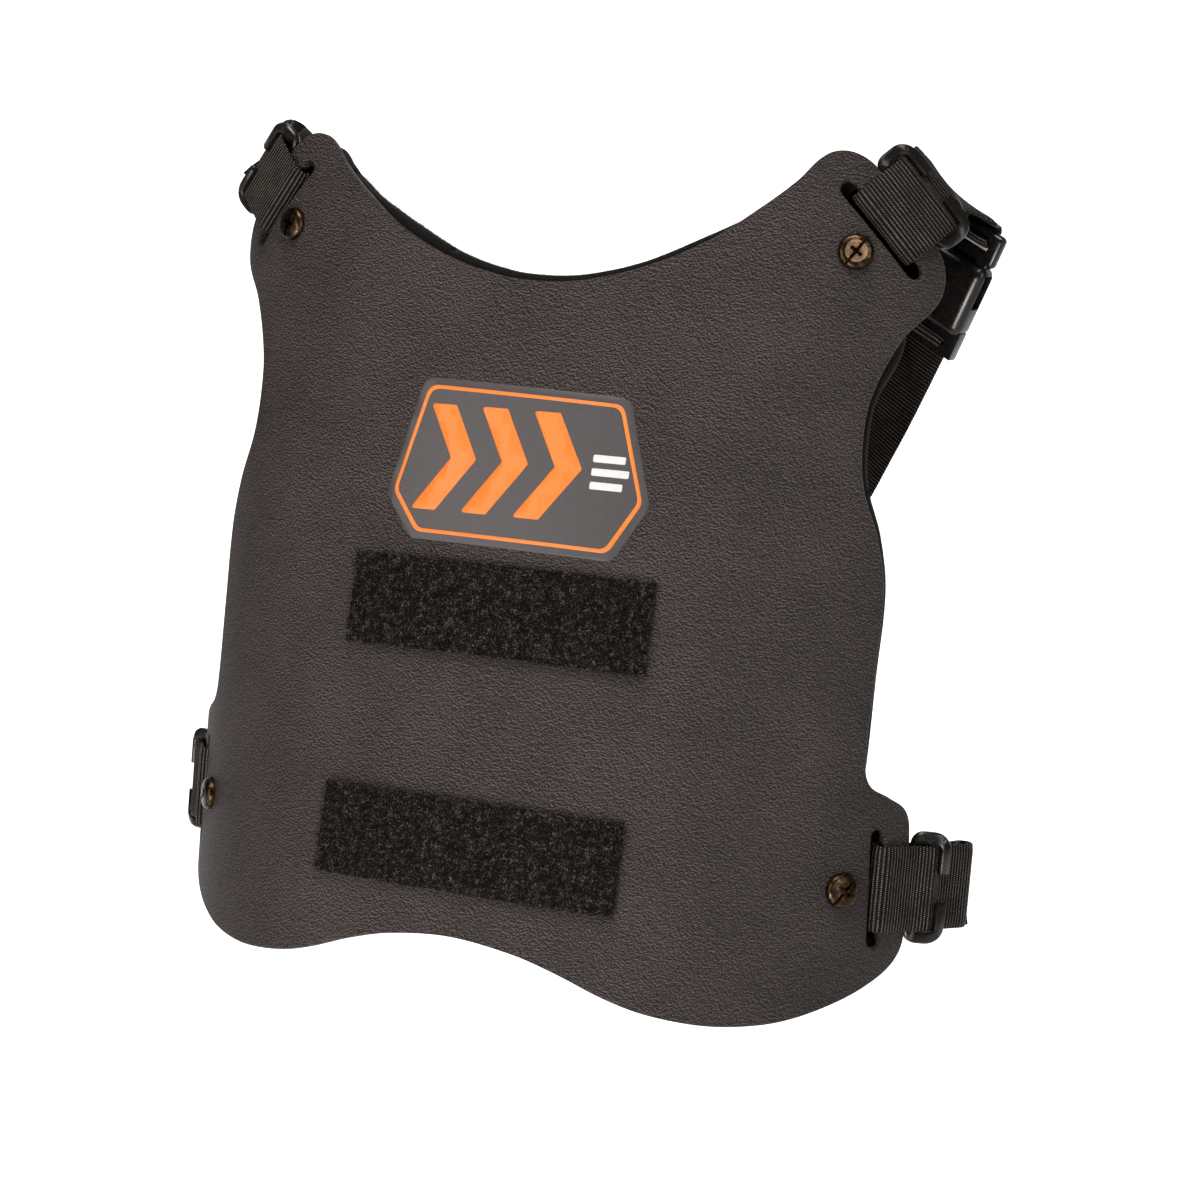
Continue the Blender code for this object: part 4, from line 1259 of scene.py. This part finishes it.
# %% Stations of each strap
BACK_COLUMNS = ("across", "back", "up")
BACK_ROWS = (
    (0.50, 0.77, 0.170),
    (0.30, 0.925, 0.098),
    (0.00, 1.00, 0.016),
    (-0.28, 0.95, -0.110),
    (-0.50, 0.88, -0.215),
    (-0.71, 0.76, -0.277),
    (-0.88, 0.62, -0.290),
)
LEFT_SHOULDER_ROWS = (
    (0.84, 0.345, 0.508),
    (0.78, 0.470, 0.430),
    (0.64, 0.620, 0.285),
)
RIGHT_SHOULDER_ROW = (0.62, 0.630, 0.262)
BUCKLE_PLACE = (0.840, 0.355, 0.494)
BUCKLE_DOWN = Vector((-0.40, 0.405, -0.82)).normalized()
BUCKLE_ACROSS = Vector((0.86, -0.12, -0.49))
BUCKLE_WIDTH = 34 * MM
BUCKLE_THICK = 8.5 * MM
BUCKLE_MALE_THICK = 3.4 * MM
BUCKLE_BAR = 3.2 * MM
BUCKLE_FRAME = 9 * MM
BUCKLE_SOCKET = 28.5 * MM
PLUG_SHARE = 0.72
UPPER_WRAP = (-80, 170)
LOWER_WRAP = (170, -10)


def loop_stations(frame, tail_reach):
    """From the tail's end, behind the plate's edge, through the slot and out to the slider."""
    over = MIDDLE_BAR_OFF + SLIDER_BAR / 2 + WEB_EASE + WEB_THICK / 2
    after = FRONT_LEG - WEB_THICK - LAYER_GAP_SHARE * WEB_EASE
    pinch = SLOT_WIDTH / 2 + FIT_GAP
    under = SLIDER_BAR / 2 + WEB_EASE + WEB_THICK / 2
    path = [
        (tail_reach, after),
        ((tail_reach + frame.outer) / 2, after),
        (frame.outer, after),
        (frame.middle, MIDDLE_BAR_OFF - under),
        (frame.inner, INNER_BAR_OFF - under),
        (REAR_LEG_SHARE * frame.margin, REAR_LEG),
    ]
    middle = (FRONT_LEG + REAR_LEG) / 2
    tall = (FRONT_LEG - REAR_LEG) / 2
    bulge = WEB_THICK / 2 + SLOT_WIDTH * BULGE_SHARE
    for step in range(ARC_STEPS + 1):
        angle = math.pi * step / ARC_STEPS
        path.append((pinch - math.sin(angle) * bulge, middle - math.cos(angle) * tall))
    path += [
        ((frame.margin + pinch) / 2, FRONT_LEG),
        (frame.margin, FRONT_LEG),
        (frame.middle, over),
        (frame.outer, FRONT_LEG),
    ]
    return [(frame.at(u, n), frame.width()) for u, n in path]


def fold_stations(frame, straight, radius, turn):
    """The bend where a strap leaves the front and turns to the back."""
    stations = []
    steps = ARC_STEPS // 2
    for step in range(steps + 1):
        angle = turn * step / steps
        u = straight + radius * math.sin(angle)
        n = FRONT_LEG - radius * (1 - math.cos(angle))
        stations.append((frame.at(u, n), frame.width()))
    return stations


def waist_stations(frame):
    stations = loop_stations(frame, WAIST_TAIL_REACH)
    straight = WAIST_FOLD_REACH - FOLD_RADIUS
    for reached in (frame.outer + SLIDER_MIDDLE, (frame.outer + straight) / 2):
        stations.append((frame.at(reached, FRONT_LEG), frame.width()))
    return stations + fold_stations(frame, straight, FOLD_RADIUS, FOLD_TURN)


def shoulder_stations(frame):
    stations = loop_stations(frame, frame.outer + SHOULDER_TAIL_PAST_SLIDER)
    straight = frame.outer + SLIDER_BAR
    return stations + fold_stations(frame, straight, SHOULDER_BEND_RADIUS, SHOULDER_BEND_TURN)


def route_place(row, side):
    cell = dict(zip(BACK_COLUMNS, row))
    x = side * cell["across"] * HARNESS_HALF_WIDTH
    y = cell["back"] * HARNESS_DEPTH - FRONT_DEPTH
    return Vector((x, y, cell["up"] * PLATE_HEIGHT))


def smooth_stations(stations):
    centres = smooth_line([centre for centre, _ in stations], ROUTE_STEPS)
    made = []
    for index, centre in enumerate(centres):
        part = min(index // ROUTE_STEPS, len(stations) - 2)
        share = index / ROUTE_STEPS - part
        first = stations[part][1].normalized()
        second = stations[part + 1][1].normalized()
        made.append((centre, first.lerp(second, share)))
    return made


def back_stations(side, offset):
    width = Vector((0, 1, 0)).cross(Vector((-side, 0, -BACK_FALL))).normalized()
    shift = Vector((0, offset, 0))
    return [(route_place(row, side) + shift, width) for row in BACK_ROWS]


def same_way(stations, width):
    """The stations with their widths pointing the same way as a given one."""
    if stations[0][1].dot(width) < 0:
        return [(place, -across) for place, across in stations]
    return stations


def buckle_frame():
    bar = route_place(BUCKLE_PLACE, 1)
    across = (BUCKLE_ACROSS - BUCKLE_DOWN * BUCKLE_ACROSS.dot(BUCKLE_DOWN)).normalized()
    return bar, across, across.cross(BUCKLE_DOWN).normalized()


def bar_wrap(bar, window, face, across, first, last):
    """The strap round a bar of the buckle, from one angle to another."""
    reach = math.hypot(BUCKLE_BAR, BUCKLE_MALE_THICK) / 2 + FIT_GAP + WEB_THICK / 2
    stations = []
    steps = max(2, round(abs(last - first) / 180 * ARC_STEPS))
    for step in range(steps + 1):
        angle = math.radians(first + (last - first) * step / steps)
        offset = face * math.cos(angle) * reach + window * math.sin(angle) * reach
        stations.append((bar + offset, across))
    return stations


def left_strap():
    """Left shoulder slot, over the shoulder, across the back, to the right waist slot."""
    first = shoulder_stations(corner["shoulder", -1])
    last = list(reversed(waist_stations(corner["waist", 1])))
    width = first[-1][1]
    back = same_way(back_stations(-1, HARNESS_CROSS_GAP), width)
    over = []
    for index, row in enumerate(LEFT_SHOULDER_ROWS):
        share = (index + 1) / (len(LEFT_SHOULDER_ROWS) + 1)
        over.append((route_place(row, -1), width.lerp(back[0][1], share)))
    last = same_way(last, back[-1][1])
    middle = smooth_stations([first[-1]] + over + back + [last[0]])
    return first + middle[1:-1] + last


def right_front_strap():
    """Right shoulder slot to the buckle's upper bar."""
    first = shoulder_stations(corner["shoulder", 1])
    bar, across, face = buckle_frame()
    wrap = same_way(bar_wrap(bar, BUCKLE_DOWN, face, across, *UPPER_WRAP), first[-1][1])
    middle = smooth_stations([first[-1], wrap[0]])
    return first + middle[1:-1] + wrap


def right_back_strap():
    """The buckle's lower bar, across the back, to the left waist slot."""
    bar, across, face = buckle_frame()
    low_bar = bar + BUCKLE_DOWN * (BUCKLE_FRAME + BUCKLE_SOCKET)
    wrap = bar_wrap(low_bar, -BUCKLE_DOWN, face, across, *LOWER_WRAP)
    back = same_way(back_stations(1, 0), wrap[-1][1])
    over = [(route_place(RIGHT_SHOULDER_ROW, 1), wrap[-1][1].lerp(back[0][1], 0.5))]
    last = same_way(list(reversed(waist_stations(corner["waist", -1]))), back[-1][1])
    middle = smooth_stations([wrap[-1]] + over + back + [last[0]])
    return wrap + middle[1:-1] + last


# %% [markdown]
# ## Weaving the webbing
# Ribbed webbing has fat weft cords that run across it, one every millimetre or so. The strap is
# swept with about five rows of points to each rib, and each row is lifted or dropped. The edges
# swell in and out with the ribs, which gives the fine saw edge of real webbing.

# %% Webbing
ROWS_A_RIB = 5
ROW_STEP = RIB_PITCH / ROWS_A_RIB * MM
RIB_HEIGHT = 0.3 * MM
RIB_FULLNESS = 0.7
EDGE_SWELL = 0.12 * MM
EDGE_PLACE = 0.985
EDGE_HEIGHT = 0.62
SECTION_CELLS = 5
PATH_SMOOTHING = 4


def even_path(stations, step):
    """Evenly spaced points along the stations, slightly smoothed."""
    lengths = [0.0]
    for (a, _), (b, _) in zip(stations, stations[1:]):
        lengths.append(lengths[-1] + (b - a).length)
    count = max(2, round(lengths[-1] / step))
    centres = []
    widths = []
    part = 0
    for index in range(count + 1):
        target = lengths[-1] * index / count
        while part < len(lengths) - 2 and lengths[part + 1] < target:
            part += 1
        span = lengths[part + 1] - lengths[part]
        share = (target - lengths[part]) / span if span > 0 else 0
        centres.append(stations[part][0].lerp(stations[part + 1][0], share))
        widths.append(stations[part][1].lerp(stations[part + 1][1], share))
    for _ in range(PATH_SMOOTHING):
        threes = zip(centres, centres[1:], centres[2:])
        inner = [(before + here * 2 + after) / 4 for before, here, after in threes]
        centres = [centres[0]] + inner + [centres[-1]]
    return centres, widths, lengths[-1]


def strap_section():
    """Round the strap: across and off, as shares of half its width and half its thickness."""
    cells = range(1 - SECTION_CELLS, SECTION_CELLS)
    top = [(-EDGE_PLACE, EDGE_HEIGHT)] + [(k / SECTION_CELLS, 1.0) for k in cells]
    top.append((EDGE_PLACE, EDGE_HEIGHT))
    return [(-1.0, 0.0)] + top + [(1.0, 0.0)] + [(w, -n) for w, n in reversed(top)]


def make_strap(name, stations, replaced):
    centres, widths, length = even_path(stations, ROW_STEP)
    section = strap_section()
    points = []
    grid = []
    for index, centre in enumerate(centres):
        run = centres[min(index + 1, len(centres) - 1)] - centres[max(index - 1, 0)]
        run.normalize()
        width = (widths[index] - run * widths[index].dot(run)).normalized()
        off = run.cross(width)
        travelled = length * index / (len(centres) - 1)
        swell = abs(math.sin(math.pi * travelled / (RIB_PITCH * MM))) ** RIB_FULLNESS
        half = WEB_WIDTH / 2 - (1 - swell) * EDGE_SWELL
        for w, n in section:
            thick = WEB_THICK / 2 - (1 - swell) * RIB_HEIGHT
            points.append(centre + width * w * half + off * n * thick)
            grid.append((travelled, w * WEB_WIDTH / 2))
    size = len(section)
    last = len(points) - size
    faces = []
    for a in range(0, last, size):
        for k in range(size):
            after = (k + 1) % size
            faces.append((a + k, a + after, a + size + after, a + size + k))
    faces.append(list(reversed(range(size))))
    faces.append([last + k for k in range(size)])
    strap = new_piece(name, points, faces)
    layer = strap.data.uv_layers.new(name="weave")
    for loop in strap.data.loops:
        layer.data[loop.index].uv = grid[loop.vertex_index]
    for polygon in strap.data.polygons:
        polygon.use_smooth = len(polygon.vertices) == 4
    dress(strap, web_finish, replaced)
    print(name, "length", round(length / MM), "mm")


make_strap("strap_left_shoulder", left_strap(), "webbing_left_shoulder")
make_strap("strap_right_front", right_front_strap(), "webbing_right_front")
make_strap("strap_right_back", right_back_strap(), "webbing_right_back")

# %% [markdown]
# ## Sliders
# A split bar slider is one moulding: a closed bar next to the plate, a bar in the middle that
# the strap climbs over, and an outer bar left open in its middle, so that the strap can be
# slipped in sideways. The open ends are the two hooks that show in front. Each bar has a flat
# face with bevelled edges, swept along its path.

# %% Sliders
SECTION_WIDE = 3.3 * MM
SECTION_TALL = 2.2 * MM
SECTION_BEVEL = 0.5 * MM
MIDDLE_BAR = 2 * MM
MIDDLE_BEVEL = 0.58 * MM
CHEEK_WIDE = 2.55 * MM
CHEEK_TALL = 1.5 * MM
CHEEK_BEVEL = 0.3 * MM
CHEEK_PLACE = 13.78 * MM
HOOK_BEND = 3.4 * MM
HOOK_STEPS = 8
INNER_BEND = 2 * MM
INNER_STEPS = 5
SLIDER_ROUND = 0.18 * MM


def bar_section(wide, tall, bevel):
    """Eight corners of a bevelled bar, as across and off."""
    a, b = wide / 2, tall / 2
    return [
        (a, -b + bevel),
        (a, b - bevel),
        (a - bevel, b),
        (-a + bevel, b),
        (-a, b - bevel),
        (-a, -b + bevel),
        (-a + bevel, -b),
        (a - bevel, -b),
    ]


def swept_bar(name, places, offs, section):
    """A bar along places, not yet in the scene; offs gives which way its face looks."""
    points = []
    size = len(section)
    count = len(places)
    for index, (place, off) in enumerate(zip(places, offs)):
        run = places[min(index + 1, count - 1)] - places[max(index - 1, 0)]
        run.normalize()
        off = (off - run * off.dot(run)).normalized()
        side = run.cross(off)
        points += [place + side * a + off * b for a, b in section]
    last = (count - 1) * size
    faces = []
    for a in range(0, last, size):
        for k in range(size):
            after = (k + 1) % size
            faces.append((a + k, a + size + k, a + size + after, a + after))
    faces.append(list(range(size)))
    faces.append([last + k for k in reversed(range(size))])
    bar = new_piece(name, points, faces, linked=False)
    work = bmesh.new()
    work.from_mesh(bar.data)
    bmesh.ops.recalc_face_normals(work, faces=work.faces[:])
    work.to_mesh(bar.data)
    work.free()
    return bar


def quarter_turns(steps):
    """Angles inside a quarter turn, without its two ends."""
    return [math.pi / 2 * step / steps for step in range(1, steps)]


def slider_path(frame, half):
    """From one hook's end round to the other's, as places along u and v."""
    path = [(frame.outer, SLIDER_MOUTH / 2), (frame.outer, half - HOOK_BEND)]
    for angle in quarter_turns(HOOK_STEPS):
        u = frame.outer - HOOK_BEND * (1 - math.cos(angle))
        path.append((u, half - HOOK_BEND * (1 - math.sin(angle))))
    path += [(frame.outer - HOOK_BEND, half), (frame.inner + INNER_BEND, half)]
    for angle in quarter_turns(INNER_STEPS):
        u = frame.inner + INNER_BEND * (1 - math.sin(angle))
        path.append((u, half - INNER_BEND * (1 - math.cos(angle))))
    path.append((frame.inner, half - INNER_BEND))
    return path + [(u, -v) for u, v in reversed(path)]


def make_slider(frame):
    half = WEB_WIDTH / 2 + SLIDER_SIDE_EASE + SLIDER_BAR / 2
    face = frame.mirrored(frame.late_off)
    places = []
    for u, v in slider_path(frame, half):
        share = (u - frame.inner) / SLIDER_REACH
        places.append(frame.at(u, INNER_BAR_OFF + (OUTER_BAR_OFF - INNER_BAR_OFF) * share, v))
    label = f"{frame.slot['name']}_slider_{frame.slot['hand']}"
    section = bar_section(SECTION_WIDE, SECTION_TALL, SECTION_BEVEL)
    slider = swept_bar(label + "_moulding", places, [face] * len(places), section)
    scene.collection.objects.link(slider)
    ends = [frame.at(frame.middle, MIDDLE_BAR_OFF, sign * half) for sign in (1, -1)]
    round_bar = bar_section(MIDDLE_BAR, MIDDLE_BAR, MIDDLE_BEVEL)
    parts = [swept_bar("middle_bar", ends, [face, face], round_bar)]
    flat_bar = bar_section(CHEEK_WIDE, CHEEK_TALL, CHEEK_BEVEL)
    for sign in (1, -1):
        ends = [
            frame.at(frame.inner, INNER_BAR_OFF, sign * CHEEK_PLACE),
            frame.at(frame.outer, OUTER_BAR_OFF, sign * CHEEK_PLACE),
        ]
        parts.append(swept_bar(f"cheek_{sign}", ends, [face, face], flat_bar))
    combined(slider, parts, "UNION")
    rounded(slider, SLIDER_ROUND, 2, 30)
    dress(slider, fitting_finish, label)
    smooth_by_angle(slider, 50)


for frame_at_slot in corner.values():
    make_slider(frame_at_slot)

# %% [markdown]
# ## The buckle
# The plug is a strap frame with two springy arms and a guide between them; the socket is a flat
# sleeve with a window at each side, where the arms are pressed. Both are boxes joined and cut,
# then softened with a bevel, which is how such mouldings are drawn in most workshops.

# %% Buckle
BUCKLE_WALL = 1.9 * MM
BUCKLE_ARM = 3.4 * MM
BUCKLE_WINDOW = 11 * MM
PLUG_END_GAP = 0.6 * MM
PLUG_ROUND = 1.55 * MM
SOCKET_ROUND = 3.3 * MM
EDGE_ROUND = 0.3 * MM
BAR_SPREAD = 0.9 * MM
WEB_SIDE = WEB_WIDTH / 2 + WEB_EASE


def finish_buckle(piece, node):
    """Softens a half of the buckle, carries it to its place and dresses it."""
    rounded(piece, EDGE_ROUND, 2)
    bar, _, face = buckle_frame()
    turn = Matrix((face.cross(BUCKLE_DOWN), face, BUCKLE_DOWN)).transposed().to_4x4()
    piece.data.transform(Matrix.Translation(bar) @ turn)
    dress(piece, fitting_finish, node)
    smooth_by_angle(piece, 40)


def make_plug():
    half = BUCKLE_WIDTH / 2
    thick = BUCKLE_MALE_THICK / 2
    bar = BUCKLE_BAR / 2
    frame_end = BUCKLE_FRAME - FIT_GAP
    gap_far = frame_end - BUCKLE_BAR
    root = gap_far + bar / 2
    far = half - BUCKLE_WALL - FIT_GAP
    near = far - BUCKLE_ARM
    reach = BUCKLE_FRAME + BUCKLE_SOCKET * PLUG_SHARE
    plug = box_mesh("plug_moulding", (-half, -thick, -bar), (half, thick, frame_end))
    scene.collection.objects.link(plug)
    rounded(plug, PLUG_ROUND, 5)
    sides = ((near, far), (-far, -near), (-BUCKLE_ARM / 2, BUCKLE_ARM / 2))
    arms = [box_mesh("arm", (low, -thick, root), (high, thick, reach)) for low, high in sides]
    combined(plug, arms, "UNION")
    low = (-WEB_SIDE, -BUCKLE_THICK, bar)
    window = box_mesh("window", low, (WEB_SIDE, BUCKLE_THICK, gap_far - BAR_SPREAD))
    combined(plug, [window], "DIFFERENCE")
    finish_buckle(plug, "buckle_plug")


def make_socket():
    half = BUCKLE_WIDTH / 2
    thick = BUCKLE_THICK / 2
    male = BUCKLE_MALE_THICK / 2
    start = BUCKLE_FRAME
    low_bar = BUCKLE_FRAME + BUCKLE_SOCKET
    bar = BUCKLE_BAR / 2
    pocket_end = start + BUCKLE_SOCKET * PLUG_SHARE + PLUG_END_GAP
    body_end = pocket_end + BUCKLE_WALL
    socket = box_mesh("socket_moulding", (-half, -thick, start), (half, thick, body_end))
    scene.collection.objects.link(socket)
    rounded(socket, SOCKET_ROUND, 7)
    tail = box_mesh("tail", (-half, -male, body_end - BUCKLE_WALL), (half, male, low_bar + bar))
    combined(socket, [tail], "UNION")
    inside = half - BUCKLE_WALL
    room = male + FIT_GAP
    windows = start + BUCKLE_WALL
    cuts = (
        ("pocket", inside, room, start - MM, pocket_end),
        ("side_windows", half + MM, room, windows, windows + BUCKLE_WINDOW),
        ("strap_gap", WEB_SIDE, BUCKLE_THICK, body_end + BAR_SPREAD, low_bar - bar),
    )
    cutters = [box_mesh(name, (-x, -y, low), (x, y, high)) for name, x, y, low, high in cuts]
    combined(socket, cutters, "DIFFERENCE")
    finish_buckle(socket, "buckle_socket")


make_plug()
make_socket()

# %% [markdown]
# ## Printed badge
# The plate carries a printed patch above the upper strip. This one is a plain design: a grey
# shield-like panel, three orange chevrons and white bars. Each colour is a thin film cut to its
# own outline and laid on the curve, which stays sharp at any distance and exports as it is.

# %% Badge
BADGE_CENTRE = Vector((0.5 * MM, 33 * MM))
BADGE_CELL = (3 * MM, 9 * MM)
FILM_THICK = 0.07
FILM_RIM = 0.02 * MM


def ink(name, roughness, dark, light):
    """A printed colour, a little uneven."""
    colour = Finish(name, Roughness=roughness)
    colour.paint(colour.noise(colour.place(), 1.4, 3.0), (0.3, *dark), (0.7, *light))
    return colour


badge_grey = ink("badge_grey", 0.45, (0.048, 0.045, 0.048), (0.062, 0.058, 0.062))
badge_orange = ink("badge_orange", 0.42, (0.72, 0.175, 0.02), (0.83, 0.22, 0.03))
badge_white = ink("badge_white", 0.42, (0.62, 0.62, 0.62), (0.74, 0.74, 0.74))


def badge_film(name, height, finish, *shapes):
    """A thin film: an outline and its hole, in millimetres from the badge's centre."""
    loops = []
    for shape in shapes:
        places = [BADGE_CENTRE + Vector((x, y)) * MM for x, y in shape]
        loops.append(places if signed_area(places) > 0 else places[::-1])
    far = (FILM_THICK - height) * MM
    film = curved_panel(name, loops[0], loops[1:], -height * MM, far, FILM_RIM, BADGE_CELL, 1)
    dress(film, finish)


def rounded_polygon(corners, radius, steps=5):
    """A polygon with its corners rounded."""
    made = []
    count = len(corners)
    for index in range(count):
        here = Vector(corners[index])
        back = (Vector(corners[index - 1]) - here).normalized()
        on = (Vector(corners[(index + 1) % count]) - here).normalized()
        opening = math.acos(max(-1, min(1, back.dot(on))))
        reach = radius / math.tan(opening / 2)
        start, end = here + back * reach, here + on * reach
        for step in range(steps + 1):
            t = step / steps
            spot = start * (1 - t) ** 2 + here * 2 * t * (1 - t) + end * t * t
            made.append((spot.x, spot.y))
    return made


# %% Shapes on the badge
PANEL_HEIGHT = 0.12
PRINT_HEIGHT = 0.2
PANEL_CORNERS = [(-42, -11), (-32, -24), (34, -25), (43, -8), (33, 23), (-34, 25)]
CHEVRON_CORNERS = [(0, -15), (8.5, -15), (20, 1), (11, 17), (2.5, 17), (11.5, 1)]
CHEVRON_PLACES = (-33, -16, 1)
BAR_LEFT = 24
BAR_TALL = 2.2
BARS = ((-4.5, 10), (-0.5, 11.5), (3.5, 10))


def smaller_panel(across, up, radius):
    corners = [(x * across, y * up) for x, y in PANEL_CORNERS]
    return rounded_polygon(corners, radius)


badge_film("badge_panel", PANEL_HEIGHT, badge_grey, rounded_polygon(PANEL_CORNERS, 5))
line = (smaller_panel(0.945, 0.91, 4), smaller_panel(0.915, 0.865, 3.6))
badge_film("badge_line", PRINT_HEIGHT, badge_orange, *line)
for index, left in enumerate(CHEVRON_PLACES):
    chevron = rounded_polygon([(left + x, y) for x, y in CHEVRON_CORNERS], 0.8, 3)
    badge_film(f"badge_chevron_{index + 1}", PRINT_HEIGHT, badge_orange, chevron)
for index, (low, length) in enumerate(BARS):
    right = BAR_LEFT + length
    high = low + BAR_TALL
    bar = rounded_polygon([(BAR_LEFT, low), (right, low), (right, high), (BAR_LEFT, high)], 0.5, 3)
    badge_film(f"badge_bar_{index + 1}", PRINT_HEIGHT, badge_white, bar)

# %% [markdown]
# ## Nap of the pad
# The cover's nap shows as a soft dark fringe along the neck and the arms. Short threads stand
# on the pad's rim, all the way round.

# %% Nap along the rim
NAP_STEP = 0.055 * MM
NAP_DEPTHS = (0.25, 0.97)
NAP_ROOT = 0.25 * MM
NAP_HEIGHT = 0.7 * MM
NAP_WIDTH = 0.11 * MM
NAP_CURL = 0.8
NAP_DROP = Vector((0, 0, -0.2))

rng = random.Random(91)
roots = []
turn = 1 if signed_area(pad_outline) > 0 else -1
for start, end in zip(pad_outline, pad_outline[1:] + pad_outline[:1]):
    run = end - start
    outward = Vector((run.y, -run.x)).normalized() * turn
    for _ in range(max(1, round(run.length / NAP_STEP))):
        spot = start + run * rng.random()
        depth = PAD_NEAR + rng.uniform(*NAP_DEPTHS) * PAD_THICK
        place, sideways, upward, off = plate_frame(spot.x, spot.y)
        way = (sideways * outward.x + upward * outward.y).normalized()
        root = place - off * depth - way * NAP_ROOT
        roots.append((root, way, NAP_DROP + off * rng.uniform(-0.5, 0.3)))
nap = threads("pad_rim_nap", roots, NAP_HEIGHT, NAP_WIDTH, NAP_CURL, 92, 2)
dress(nap, pad_finish)

# %% [markdown]
# ## Size at the end
# The size of the dressed model is printed, beside the CAD model's size printed at the start.

# %% Sizes and finish
low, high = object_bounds()
print("visual size in mm:", [round((b - a) / MM, 1) for a, b in zip(low, high)])
